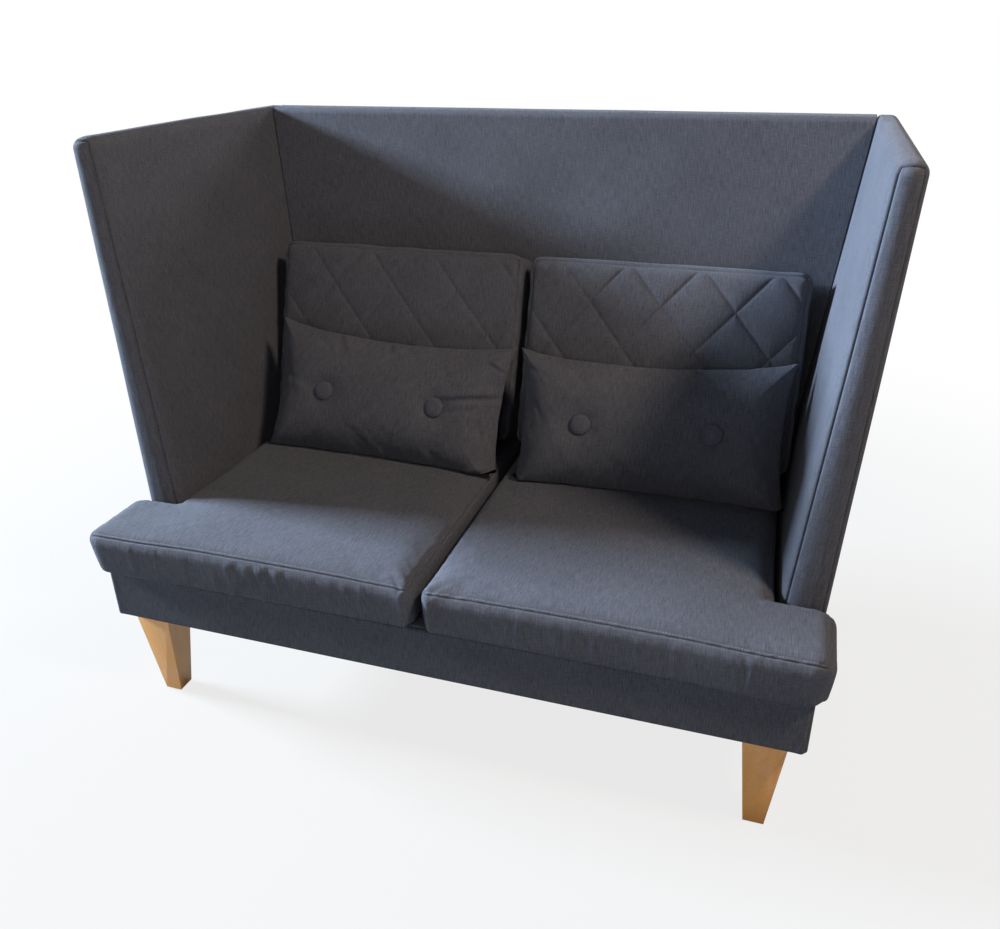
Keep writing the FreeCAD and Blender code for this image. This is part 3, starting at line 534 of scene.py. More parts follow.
def plain_material(name, colour, rough, metal, grain, relief):
    """Felt, board, thread or plated steel: one colour broken up by wear, with a fine relief."""
    tree, shader = new_material(name, Metallic=metal)
    place = add(tree, "ShaderNodeTexCoord").outputs["Object"]
    worn = add(tree, "ShaderNodeGroup", {"Place": place}, node_tree=bpy.data.node_groups["wear"])
    worn.inputs["Colour"].default_value = colour
    worn.inputs["Amount"].default_value = 0.25
    worn.inputs["Grain"].default_value = grain
    fine = add(tree, "ShaderNodeTexNoise", {"Vector": place, "Scale": 12 * grain, "Detail": 3.0})
    tree.links.new(worn.outputs["Colour"], shader.inputs["Base Color"])
    rougher = math_node(tree, "MULTIPLY_ADD", worn.outputs["Mask"], 0.4, rough)
    tree.links.new(rougher, shader.inputs["Roughness"])
    bump(tree, shader, fine.outputs["Fac"], 0.4, relief)


# Forms of the upholstered panels

def wing_place(unit):
    """Wing: straight lines between four leaning edges, whose thickness differs at foot and head."""
    across, along, up = unit[..., 0], unit[..., 1], unit[..., 2]
    front = WING_FRONT + WING_FRONT_LEAN * up
    rear = REAR + BACK_LEAN * up
    thick = wing_thickness(along, up)
    x = WING_OUTER + WING_FLARE * up - thick * (1 - across)
    return np.stack([x, mix(front, rear, along), DECK + PANEL_HEIGHT * up], -1)


def wing_thickness(along, up):
    return mix(mix(*WING_THICK_FRONT, up), mix(*WING_THICK_REAR, up), along)


def back_half_width(y, up):
    """Half of the width between the wings at a depth and a share of the height."""
    long = REAR - WING_FRONT + (BACK_LEAN - WING_FRONT_LEAN) * up
    along = (y - WING_FRONT - WING_FRONT_LEAN * up) / long
    return WING_OUTER + WING_FLARE * up - wing_thickness(along, up) - PANEL_GAP


def back_place(unit):
    """Back: leans with the height and fills the width between the wings."""
    across, along, up = unit[..., 0], unit[..., 1], unit[..., 2]
    y = REAR + BACK_LEAN * up - mix(*BACK_THICK, up) * (1 - along)
    x = (2 * across - 1) * back_half_width(y, up)
    return np.stack([x, y, DECK + PANEL_HEIGHT * up], -1)


def panel_cloth(unit, size, axis):
    """Cloth coordinates of a face in metres: the warp runs upwards, or along the depth on top."""
    metric = unit * size
    first, second = [k for k in range(3) if k != axis]
    return np.stack([metric[..., first], metric[..., second]], -1)


def padded_panel(grids, size_of, radius, foot_radius, place, crown, seams, groove, seed):
    """Panel of padded cloth: a rounded box, its faces crowned by a product of sines, with sewn grooves.

    radius gives the radii at each point and crown the rise of the faces across each axis. seams
    names the faces whose outline is a seam: there the surface dips by a Gauss curve.
    """
    patches = {}
    for (axis, side), unit in grids.items():
        size = size_of(unit)
        radii = np.broadcast_to(radius(unit), unit.shape).copy()
        radii[..., 2] = np.where(unit[..., 2] < 0.5, foot_radius, radii[..., 2])
        soft, outward = rounded(unit, size, radii)
        first, second = [k for k in range(3) if k != axis]
        lift = crown[axis] * np.sin(math.pi * unit[..., first]) * np.sin(math.pi * unit[..., second])
        metric = unit * size
        uneven = ripple(metric[..., first], metric[..., second], PADDING_WAVES, seed + 7 * axis + side)
        lift = lift * (1 + uneven)
        for seam in seams:
            if seam == (axis, side):
                edge = np.minimum(np.minimum(unit[..., first], 1 - unit[..., first]) * size[..., first],
                                  (1 - unit[..., second]) * size[..., second])
            elif axis != seam[0] and (axis, side) != (2, 0):
                edge = np.abs(unit[..., seam[0]] - seam[1]) * size[..., seam[0]]
            else:
                continue
            welt = WELT_SHARE * groove * bell(edge - WELT_SETBACK, WELT_WIDTH)
            lift = lift - groove * bell(edge, SEAM_WIDTH) + welt
        soft = soft + outward * (lift[..., None] / size)
        patches[axis, side] = (place(soft), panel_cloth(unit, size, axis))
    return patches


def make_wings(settings):
    """Side wings: a cover over foam, and a front band sewn between its faces.

    Behind the band's front lie its own rear and the cover's front, each sunk inside the border.
    """
    grids = cube_grids([graded(26, 0.78), graded(84, 0.93), graded(92, 0.93)])
    depth = REAR - WING_FRONT
    sunk = np.zeros(grids[1, 0].shape)
    sunk[1:-1, 1:-1, 1] = 1

    def size_of(unit):
        thick = wing_thickness(unit[..., 1], unit[..., 2])
        long = depth + (BACK_LEAN - WING_FRONT_LEAN) * unit[..., 2]
        return np.stack([thick, long, np.full_like(thick, PANEL_HEIGHT)], -1)

    def radius(unit):
        """Full at the front and over the top, tight on the inner side where the back meets the wing."""
        tight = step(0.74, 0.88, unit[..., 1]) * (1 - step(0.2, 0.8, unit[..., 0]))
        across = np.minimum(mix(WING_ROUND, WING_ROUND_TIGHT, tight),
                            0.47 * wing_thickness(unit[..., 1], unit[..., 2]))
        along = np.where(unit[..., 1] < 0.5, WING_FRONT_ROUND, WING_REAR_ROUND)
        return np.stack([across, along, mix(WING_TOP_ROUND, WING_TOP_ROUND_TIGHT, tight)], -1)

    for side, sign in SIDES.items():
        patches = padded_panel(grids, size_of, radius, FOOT_ROUND, wing_place, WING_CROWN,
                               [(1, 0)], settings.seam_depth, 10 + sign)
        band, band_cloth = patches.pop((1, 0))
        cloth_shift = np.array([0.37 * sign, 0.11])
        shell = [*patches.values(), (band + COVER_SINK * sunk, band_cloth)]
        shell = [(mirrored(grid, sign), uv + cloth_shift) for grid, uv in shell]
        points, quads, cloth, _ = weld(shell)
        cover = make_object("wing_%s_upholstery" % side, points, quads, cloth)
        dress(cover, "sofa_weave", "frame", "weave", "wing_%s_cover" % side, "wing_%s_foam" % side)
        faces = [mirrored(grid, sign) for grid in (band, band + BAND_SINK * sunk)]
        points, quads, cloth, _ = weld([(grid, band_cloth + 3 * cloth_shift) for grid in faces])
        strip = make_object("wing_%s_band" % side, points, quads, cloth)
        dress(strip, "sofa_weave", "frame", "weave", "wing_%s_front_band" % side)


def make_back(settings):
    """Tall back between the wings."""
    grids = cube_grids([graded(120, 0.92), graded(20, 0.7), graded(84, 0.93)])

    def size_of(unit):
        thick = mix(*BACK_THICK, unit[..., 2])
        wide = 2 * back_half_width(REAR + BACK_LEAN * unit[..., 2], unit[..., 2])
        return np.stack([wide, thick, np.full_like(thick, PANEL_HEIGHT)], -1)

    def radius(unit):
        return np.array(BACK_ROUND)

    patches = padded_panel(grids, size_of, radius, FOOT_ROUND, back_place, BACK_CROWN,
                           [(1, 1)], settings.seam_depth, 31)
    points, quads, cloth, _ = weld(list(patches.values()))
    back = make_object("back_upholstery", points, quads, cloth)
    dress(back, "sofa_weave", "frame", "weave", "back_cover", "back_foam")


def make_base(settings):
    """Upholstered base: a rounded box with sewn corners and a recess below for the dust cover."""
    grids = cube_grids([graded(120, 0.93), graded(76, 0.9), graded(18, 0.6)])
    size = np.array([2 * HALF, REAR - FRONT, DECK - LEG_HEIGHT])

    def size_of(unit):
        return np.broadcast_to(size, unit.shape)

    def place(unit):
        points = np.array([-HALF, FRONT, LEG_HEIGHT]) + unit * size
        inset = np.minimum(HALF - np.abs(points[..., 0]),
                           np.minimum(points[..., 1] - FRONT, REAR - points[..., 1]))
        recess = BASE_RECESS * step(0.030, 0.036, inset) * (unit[..., 2] < 0.5)
        return points + recess[..., None] * np.array([0, 0, 1])

    def radius(unit):
        return np.array(BASE_ROUND)

    patches = padded_panel(grids, size_of, radius, BASE_FOOT_ROUND, place, BASE_CROWN,
                           [(1, 0), (1, 1)], 0.6 * settings.seam_depth, 53)
    points, quads, cloth, _ = weld(list(patches.values()))
    base = make_object("base_upholstery", points, quads, cloth)
    dress(base, "sofa_weave", "frame", "weave", "base_cover", "base_wadding", "seat_deck_pad")


def make_dust_cover():
    """Thin lining under the base: a sheet that sags by a product of sines, with a turned edge."""
    low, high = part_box("dust_cover")
    across, along = np.meshgrid(graded(60, 0.6), graded(36, 0.6), indexing="ij")
    x, y = mix(low.x, high.x, across), mix(low.y, high.y, along)
    edge = np.minimum(np.minimum(across, 1 - across) * (high.x - low.x),
                      np.minimum(along, 1 - along) * (high.y - low.y))
    sag = 0.0025 * np.sin(math.pi * across) * np.sin(math.pi * along)
    sag = sag * (1 + 0.3 * ripple(x, y, (0.21, 0.4, 0.33), 5))
    pull = 0.0006 * bell(edge, 0.02) * np.sin(2 * math.pi * (x + y) / 0.06)
    z = LEG_HEIGHT + 0.0008 - sag + pull * bell(edge - 0.02, 0.012)
    grid = np.stack([x, y, z], -1)
    points, quads, cloth, _ = weld([(grid, np.stack([x, y], -1))])
    sheet = make_object("dust_cover_cloth", points, quads, cloth, (0, 0, 1))
    thick = sheet.modifiers.new("thickness", "SOLIDIFY")
    thick.thickness, thick.offset = 0.0005, 0
    dress(sheet, "dust_lining", "frame", "lining", "dust_cover")


# Forms of the loose cushions

def crease(x, z, start, end, width, depth):
    """Fold along a line: a Gauss hollow beside a Gauss ridge, dying away at both ends."""
    run = np.hypot(end[0] - start[0], end[1] - start[1])
    ahead = ((end[0] - start[0]) / run, (end[1] - start[1]) / run)
    along = ((x - start[0]) * ahead[0] + (z - start[1]) * ahead[1]) / run
    off = (z - start[1]) * ahead[0] - (x - start[0]) * ahead[1]
    length = np.sin(math.pi * np.clip(along, 0, 1)) ** 0.7
    return depth * length * (0.8 * bell(off - 1.7 * width, 1.4 * width) - bell(off, width))


def stitches(path, outward, pitch, long, thick):
    """Topstitching: ellipsoids at even steps along a path, half sunk in the cloth.

    Returns points and quads.
    """
    run = np.concatenate([[0], np.cumsum(np.linalg.norm(np.diff(path, axis=0), axis=1))])
    place = np.arange(pitch, run[-1] - pitch, pitch)

    def at(values, where):
        return np.stack([np.interp(where, run, values[:, k]) for k in range(3)], -1)

    ahead = at(path, place + 0.002) - at(path, place - 0.002)
    ahead = ahead / np.linalg.norm(ahead, axis=1, keepdims=True)
    across = np.cross(at(outward, place), ahead)
    across = across / np.linalg.norm(across, axis=1, keepdims=True)
    up = np.cross(ahead, across)
    faces = cube_grids([np.linspace(0, 1, 5), np.linspace(0, 1, 3), np.linspace(0, 1, 3)]).values()
    ball, quads, _, _ = weld([(grid, grid[..., :2]) for grid in faces])
    ball = 2 * ball - 1
    ball = ball / np.linalg.norm(ball, axis=1, keepdims=True) * np.array([long, thick, 0.7 * thick]) / 2
    axes = np.stack([ahead, across, up], 1)
    points = at(path, place)[:, None] + np.einsum("pk,nkc->npc", ball, axes)
    numbers = quads[None] + (np.arange(len(place)) * len(ball))[:, None, None]
    return points.reshape(-1, 3), numbers.reshape(-1, 4)


def seat_lines(fine):
    """Lines of the L-shaped plan: width before and beyond the notch, depth likewise, and height."""
    lines = [mix(SEAT_LOW.x, NOTCH_FRONT, graded(64, 0.80)),
             mix(NOTCH_FRONT, SEAT_HIGH.x, graded(18, 0.6)),
             mix(SEAT_LOW.y, EAR_REAR, graded(26, 0.75)),
             mix(EAR_REAR, SEAT_HIGH.y, graded(56, 0.80)),
             mix(SEAT_LOW.z, SEAT_SEAM, graded(14, 0.6))]
    return [between(line) for line in lines] if fine else lines


def seat_patches(fine, crown, folds):
    """L-shaped boxed cushion: a sharp L rounded about its inner L, crowned, with folds in front."""
    near, ear, front, rear, up = seat_lines(fine)
    low, high = SEAT_LOW.z, SEAT_SEAM
    west, east, south, north = SEAT_LOW.x, SEAT_HIGH.x, SEAT_LOW.y, SEAT_HIGH.y
    flats = [(near, front), (near, rear), (ear, front)]
    walls = [(near, south), (ear, south), (ear, EAR_REAR), (near, north)]
    ends = [(west, front), (west, rear), (NOTCH_FRONT, rear), (east, front)]
    sharp = []
    for level in (low, high):
        for xs, ys in flats:
            x, y = np.meshgrid(xs, ys, indexing="ij")
            flat = np.stack([x, y, np.full_like(x, level)], -1)
            sharp.append((flat, (0, 1), 1 if level == high else 0))
    for xs, y in walls:
        x, z = np.meshgrid(xs, up, indexing="ij")
        sharp.append((np.stack([x, np.full_like(x, y), z], -1), (0, 2), 0))
    for x, ys in ends:
        y, z = np.meshgrid(ys, up, indexing="ij")
        sharp.append((np.stack([np.full_like(y, x), y, z], -1), (1, 2), 0))
    return [(seat_form(points, crown, folds), points[..., list(plane)] + 0.31 * top)
            for points, plane, top in sharp]


def seat_seam(points):
    """Distance from the seam round the top of a sharp L: above 0 on the top, below 0 down the sides."""
    x, y = points[..., 0], points[..., 1]
    notch = np.hypot(np.maximum(NOTCH_FRONT - x, 0), np.maximum(EAR_REAR - y, 0))
    inside = np.minimum.reduce([x - SEAT_LOW.x, SEAT_HIGH.x - x, y - SEAT_LOW.y, SEAT_HIGH.y - y, notch])
    return np.maximum(inside, 0) - (SEAT_SEAM - points[..., 2])


def seat_form(points, crown, folds):
    """Rounds the sharp L, crowns it, draws its sides in to the deck, presses the seam and the folds."""
    outer = points[..., 0] > (SEAT_LOW.x + SEAT_HIGH.x) / 2
    upper = points[..., 2] > (SEAT_LOW.z + SEAT_SEAM) / 2
    ahead = 1 - step(EAR_REAR - 0.02, EAR_REAR + 0.25, points[..., 1])
    top_round = mix(SEAT_TOP_REAR_ROUND, SEAT_TOP_ROUND, ahead)
    radius = np.stack([np.where(outer, SEAT_OUTER_ROUND, SEAT_INNER_ROUND),
                       mix(SEAT_REAR_ROUND, SEAT_FRONT_ROUND, ahead),
                       np.where(upper, top_round, SEAT_FOOT_ROUND)], -1)
    boxes = []
    for east, north in ((NOTCH_FRONT, SEAT_HIGH.y), (SEAT_HIGH.x, EAR_REAR)):
        low = np.array([SEAT_LOW.x, SEAT_LOW.y, SEAT_LOW.z]) + radius
        high = np.array([east, north, SEAT_SEAM]) - radius
        inner = np.clip(points, low, high)
        boxes.append((inner, np.linalg.norm((points - inner) / radius, axis=-1, keepdims=True)))
    inner = np.where(boxes[0][1] <= boxes[1][1], boxes[0][0], boxes[1][0])
    away = (points - inner) / radius
    away = away / np.maximum(np.linalg.norm(away, axis=-1, keepdims=True), 1e-9)
    soft = inner + radius * away
    x, y, z = soft[..., 0], soft[..., 1], soft[..., 2]
    wide = (2 * x - SEAT_LOW.x - SEAT_HIGH.x) / (SEAT_HIGH.x - SEAT_LOW.x)
    deep = (2 * y - SEAT_LOW.y - SEAT_HIGH.y) / (SEAT_HIGH.y - SEAT_LOW.y + 0.04)
    up = (points[..., 2] - SEAT_LOW.z) / (SEAT_SEAM - SEAT_LOW.z)
    dome = (0.25 + 0.75 * (1 - deep ** 2)) * (1 - np.abs(wide) ** 2.4)
    z = z + crown * dome * up ** 3
    under = np.clip(1 - up, 0, 1) ** 1.5
    y = y + 0.008 * under * bell(points[..., 1] - SEAT_LOW.y, 0.05)
    x = x + under * (0.006 * bell(points[..., 0] - SEAT_LOW.x, 0.04)
                     - 0.009 * bell(points[..., 0] - SEAT_HIGH.x, 0.05))
    off = seat_seam(points)
    run = points[..., 0] - points[..., 1]
    sewn = 0.0026 * bell(off, 0.0034) + 0.0009 * bell(off - 0.011, 0.0030)
    pucker = 0.0007 * bell(off - 0.003, 0.018) * ripple(run, off, (0.017, 0.026, 0.039), 3)
    soft = np.stack([x, y, z], -1) + (pucker - sewn)[..., None] * away
    front = bell(points[..., 1] - SEAT_LOW.y, 0.012) * np.sin(math.pi * np.clip(up, 0, 1)) ** 0.5
    soft[..., 1] -= front * folds(x, up)
    slant = mix(1.0, (NOTCH_REAR - SEAT_LOW.x) / (NOTCH_FRONT - SEAT_LOW.x),
                np.clip((y - EAR_REAR) / (SEAT_HIGH.y - EAR_REAR), 0, 1))
    slant = np.where(points[..., 1] > EAR_REAR, slant, 1.0)
    soft[..., 0] = SEAT_LOW.x + (soft[..., 0] - SEAT_LOW.x) * slant
    return soft


def seat_folds(rows):
    """Upright folds of the front: each a Gauss hollow beside a Gauss ridge.

    A sine of the height bends each to an S. A row gives place, width, depth, slope and the heights
    between which the fold runs, as shares.
    """
    def folds(x, up):
        total = np.zeros_like(x)
        for place, width, depth, slope, low, high in rows:
            off = x - place - slope * (up - 0.5) - 0.35 * slope * np.sin(2 * math.pi * up)
            reach = step(low - 0.15, low + 0.1, up) * (1 - step(high - 0.1, high + 0.15, up))
            fold = bell(off - 1.5 * width, width) - bell(off, 0.8 * width)
            total = total + SEAT_FOLD_SHARE * depth * reach * fold
        return total
    return folds


SEAT_FOLDS = {
    "right": [(0.13, 0.004, 0.0014, 0.004, 0.3, 1.0), (0.19, 0.006, 0.0018, -0.010, 0.0, 0.8),
              (0.255, 0.005, 0.0022, 0.012, 0.1, 0.9), (0.285, 0.004, 0.0018, 0.006, 0.4, 1.0),
              (0.33, 0.006, 0.0016, -0.008, 0.0, 0.7), (0.41, 0.005, 0.0014, 0.004, 0.5, 1.0),
              (0.47, 0.007, 0.0016, 0.010, 0.1, 0.8), (0.60, 0.006, 0.0012, -0.006, 0.3, 1.0)],
    "left": [(0.10, 0.005, 0.0022, 0.006, 0.2, 1.0), (0.135, 0.004, 0.0018, -0.004, 0.5, 1.0),
             (0.165, 0.005, 0.0026, 0.004, 0.4, 1.0), (0.205, 0.005, 0.0022, -0.006, 0.5, 1.0),
             (0.23, 0.006, 0.0024, 0.010, 0.0, 0.6), (0.275, 0.006, 0.0044, -0.026, 0.0, 1.0),
             (0.312, 0.006, 0.0052, -0.030, 0.0, 1.0), (0.346, 0.005, 0.0036, -0.018, 0.3, 1.0),
             (0.385, 0.006, 0.0046, -0.020, 0.0, 0.9), (0.425, 0.005, 0.0026, -0.008, 0.0, 0.5),
             (0.49, 0.007, 0.0012, 0.006, 0.2, 0.8), (0.56, 0.005, 0.0010, 0.004, 0.4, 1.0),
             (0.62, 0.006, 0.0010, -0.004, 0.3, 1.0)],
}


def make_seat_cushions(settings):
    """Two L-shaped seat cushions, filled by simulation, with a topstitched front seam."""
    moves = {side: None for side in SIDES}
    def held(points):
        return (points[:, 2] < SEAT_LOW.z + 0.004).astype(float)
    jobs = [(seat_patches(False, SEAT_CROWN, seat_folds(SEAT_FOLDS[side])), held, *SEAT_AIR)
            for side in SIDES]
    moves = dict(zip(SIDES, swell(jobs, SEAT_FRAMES)))
    for side, sign in SIDES.items():
        shaped = []
        patches = seat_patches(True, SEAT_CROWN, seat_folds(SEAT_FOLDS[side]))
        for number, (grid, uv) in enumerate(patches):
            if moves[side] is not None:
                ear = (step(NOTCH_FRONT - SEAT_EAR_FADE, NOTCH_FRONT, grid[..., 0])
                       * (1 - step(EAR_REAR, EAR_REAR + SEAT_EAR_FADE, grid[..., 1])))
                move = finer(moves[side][number]) * np.array(SEAT_SHARE)
                grid = grid + move * (1 - 0.85 * ear)[..., None]
            over = np.maximum(grid[..., 2] - SEAT_SEAM, 0)
            grid[..., 2] = np.minimum(grid[..., 2], SEAT_SEAM) + SEAT_RISE * np.tanh(over / SEAT_RISE)
            grid[..., 0] = np.maximum(grid[..., 0], 0.0012)
            beyond = np.maximum(step(HALF + 0.001, HALF + 0.034, grid[..., 0]),
                                step(0.001, 0.020, FRONT - grid[..., 1]))
            grid[..., 2] = np.maximum(grid[..., 2], DECK + 0.0004)
            grid[..., 2] -= SEAT_DROOP * beyond * (1 - step(SEAT_LOW.z, SEAT_SEAM, grid[..., 2]))
            grid[..., 1] = np.minimum(grid[..., 1], SEAT_HIGH.y + 0.002)
            shaped.append((mirrored(grid, sign), uv + 0.53 * sign))
        points, quads, cloth, _ = weld(shaped)
        body = "seat_cushion_%s" % side
        cushion = make_object(body, points, quads, cloth)
        dress(cushion, "sofa_weave", body, "weave", body + "_core", body + "_cover")
        make_topstitch(settings, side, shaped[3][0], shaped[5][0])


def make_topstitch(settings, side, near, ear):
    """Row of stitches along the front of a seat cushion's top and back along its outer end.

    The row keeps to one line of the top's grid on each edge, set back from the seam.
    """
    setback = int(np.argmin(np.abs(seat_lines(True)[2] - SEAT_LOW.y - settings.stitch_setback)))
    end = int(np.argmin(np.abs(SEAT_HIGH.x - seat_lines(True)[1] - settings.stitch_setback)))
    path = np.concatenate([near[setback:, setback], ear[1:end, setback], ear[end, setback:-setback]])
    ahead = np.concatenate([near[setback:, setback + 1], ear[1:end, setback + 1],
                            ear[end, setback + 1:-setback + 1]])
    beside = np.gradient(path, axis=0)
    outward = np.cross(beside, ahead - path) * SIDES[side]
    outward = outward * np.where(outward[:, 2:] < 0, -1, 1)
    points, quads = stitches(path, outward, settings.stitch_pitch, 0.72 * settings.stitch_pitch, 0.0011)
    body = "seat_cushion_%s" % side
    thread = make_object(body + "_topstitch", points, quads)
    dress(thread, "sewing_thread", body, "weave")


def leant(points, x, tilt=None):
    """Turns upright cushion points (width, depth, height) back by the lean and sets them on the seat."""
    if tilt is not None:
        a, b = math.cos(tilt), math.sin(tilt)
        points = np.stack([a * points[..., 0] - b * points[..., 2], points[..., 1],
                           b * points[..., 0] + a * points[..., 2]], -1)
        c, s = math.cos(LUMBAR_LEAN), math.sin(LUMBAR_LEAN)
        points = np.stack([points[..., 0], c * points[..., 1] + s * points[..., 2] + LUMBAR_Y,
                           -s * points[..., 1] + c * points[..., 2] + LUMBAR_Z], -1)
    c, s = math.cos(LEAN), math.sin(LEAN)
    y = LEAN_Y + c * points[..., 1] + s * points[..., 2]
    z = LEAN_Z - s * points[..., 1] + c * points[..., 2]
    return np.stack([x + points[..., 0], y, np.maximum(z, REST + 0.0003)], -1)


def quilt_lines(fine, pitch, height):
    """Lines on which the diamonds' diagonals run through the corners of the grid."""
    wide, _, tall = BACK_CUSHION
    cells = 14
    column, row = pitch / 2 / cells, height / 2 / cells
    count = int((wide / 2 - 0.001) / column)
    xs = np.concatenate([[-wide / 2], np.arange(-count, count + 1) * column, [wide / 2]]) / wide + 0.5
    down = np.arange(int((tall - 0.001) / row), 0, -1) * row
    zs = np.concatenate([[0.0], tall - down, [tall]]) / tall
    lines = [xs, graded(12, 0.3), zs]
    return [between(line) for line in lines] if fine else lines


def quilt_distance(x, z, pitch, height):
    """Distance from the nearest of two sets of slanting lines that cross on the top edge."""
    long = math.hypot(pitch, height)
    reach = np.full_like(x, 1.0)
    for turn in (1, -1):
        phase = (x + turn * (BACK_CUSHION[2] - z) * pitch / height) / pitch - 0.5
        off = np.abs(phase - np.round(phase)) * pitch * height / long
        reach = np.minimum(reach, off)
    return reach


def face_rim(unit, size):
    """Distance from the outline of a back cushion's front or rear face."""
    return np.minimum(np.minimum(unit[..., 0], 1 - unit[..., 0]) * size[0],
                      np.minimum(unit[..., 2], 1 - unit[..., 2]) * size[2])


def back_cushion_form(fine, settings, seed):
    """Boxed cushion with a crowned, quilted front: puffs rise with the distance from the sewn lines."""
    size = np.array(BACK_CUSHION)
    lines = quilt_lines(fine, settings.quilt_pitch, settings.quilt_height)
    patches = []
    for (axis, side), unit in cube_grids(lines).items():
        soft, outward = rounded(unit, size, np.array([0.026, 0.011, 0.026]))
        metric = unit * size
        x, z = metric[..., 0] - size[0] / 2, metric[..., 2]
        wide, tall = 2 * unit[..., 0] - 1, 2 * unit[..., 2] - 1
        points = soft * size
        points[..., 0] -= size[0] / 2
        front = (1 - unit[..., 1]) ** 2
        dome = (1 - np.abs(wide) ** 2.5) * (1 - np.abs(tall) ** 2.5)
        points[..., 1] -= 0.017 * front * dome
        if (axis, side) == (1, 0):
            off = quilt_distance(x, z, settings.quilt_pitch, settings.quilt_height)
            rim = face_rim(unit, size)
            puff = settings.quilt_depth * (1 - np.exp(-off / 0.0085)) * step(0, 0.03, rim)
            points[..., 1] -= puff - 0.25 * settings.quilt_depth
            points[..., 1] += 0.0012 * bell(off, 0.0018) * step(0.004, 0.02, rim)
        edge = np.minimum(unit[..., 1], 1 - unit[..., 1]) * size[1]
        if axis == 1:
            edge = face_rim(unit, size)
        points = points - outward * (0.0030 * bell(edge, 0.0042))[..., None]
        middle = np.sin(math.pi * unit[..., 1]) * (axis != 1)
        gather = 0.0022 * bell(edge - 0.012, 0.012) * (axis == 0)
        gather = gather * ripple(z, metric[..., 1], (0.021, 0.034, 0.05), seed)
        uneven = 0.0022 * middle * ripple(x + z, metric[..., 1], (0.09, 0.14, 0.23), seed) + gather
        points = points + outward * uneven[..., None]
        patches.append((points, panel_cloth(unit, size, axis) + 0.17 * axis))
    return patches


def make_back_cushions(settings):
    """Two boxed back cushions with a quilted front, filled by simulation between the sewn lines."""
    moves = None
    def sewn(points):
        x, y, z = points.T
        off = quilt_distance(x, z, settings.quilt_pitch, settings.quilt_height)
        quilting = bell(off, 0.004) * (y < 0.02)
        return np.maximum(quilting, (y > BACK_CUSHION[1] - 0.006) | (z < 0.006))
    moves = swell([(back_cushion_form(False, settings, 70), sewn, *BACK_AIR)], BACK_FRAMES)[0]
    for number, (side, x) in enumerate(BACK_CUSHION_X.items()):
        patches = back_cushion_form(True, settings, 70 + number)
        if moves is not None:
            patches = [(grid + finer(move) * np.array(BACK_SHARE), uv)
                       for (grid, uv), move in zip(patches, moves)]
        shaped = [(leant(grid, x), uv + 0.41 * number) for grid, uv in patches]
        points, quads, cloth, _ = weld(shaped)
        body = "back_cushion_%s" % side
        cushion = make_object(body, points, quads, cloth)
        dress(cushion, "sofa_weave", body, "weave", body + "_core", body + "_cover")


def lumbar_form(fine, fullness):
    """Pillow before it is filled: two faces that meet at its edges.

    They swell by powers of the distance from the edges, and the front is drawn in at the buttons.
    """
    wide, thick, tall = LUMBAR
    lines = [graded(76, 0.4), graded(44, 0.4)]
    if fine:
        lines = [between(line) for line in lines]
    u, v = np.meshgrid(2 * lines[0] - 1, 2 * lines[1] - 1, indexing="ij")
    x = u * (wide / 2 - 0.008 * (1 - v ** 2))
    z = v * (tall / 2 - 0.008 * (1 - u ** 2))
    swollen = (1 - np.abs(u) ** 2.6) ** 0.62 * (1 - np.abs(v) ** 2.3) ** 0.62
    patches = []
    for sign in (-1, 1):
        y = sign * fullness * thick / 2 * swollen
        if sign < 0:
            y = y + 0.25 * fullness * 0.027 * button_pull(x, z, 0.042)
        patches.append((np.stack([x, y, z], -1), np.stack([x, z], -1) + 0.7 * sign))
    return patches


def button_pull(x, z, width):
    """Gauss curves about a pillow's two buttons."""
    return sum(bell(np.hypot(x - place * BUTTON_SPACING / 2, z), width) for place in (-1, 1))


# Folds of the pillows' fronts: start, end, width and depth
LUMBAR_FOLDS = {
    "right": [((0.070, 0.152), (0.106, 0.120), 0.004, 0.0060),
              ((0.100, -0.165), (0.128, -0.128), 0.005, 0.0050),
              ((-0.292, -0.128), (-0.262, -0.150), 0.004, 0.0050),
              ((-0.285, 0.120), (-0.225, 0.100), 0.007, 0.0025),
              ((0.165, 0.012), (0.245, 0.050), 0.010, 0.0025),
              ((-0.165, -0.010), (-0.245, -0.060), 0.010, 0.0020)],
    "left": [((0.140, 0.014), (0.292, 0.044), 0.0065, 0.0085),
             ((0.150, -0.004), (0.250, 0.010), 0.009, 0.0035),
             ((-0.150, 0.150), (-0.105, 0.085), 0.010, 0.0050),
             ((-0.020, 0.150), (0.005, 0.105), 0.009, 0.0035),
             ((0.240, 0.120), (0.285, 0.095), 0.005, 0.0040),
             ((0.215, -0.150), (0.285, -0.125), 0.005, 0.0045),
             ((-0.165, 0.006), (-0.260, 0.030), 0.009, 0.0025)],
}


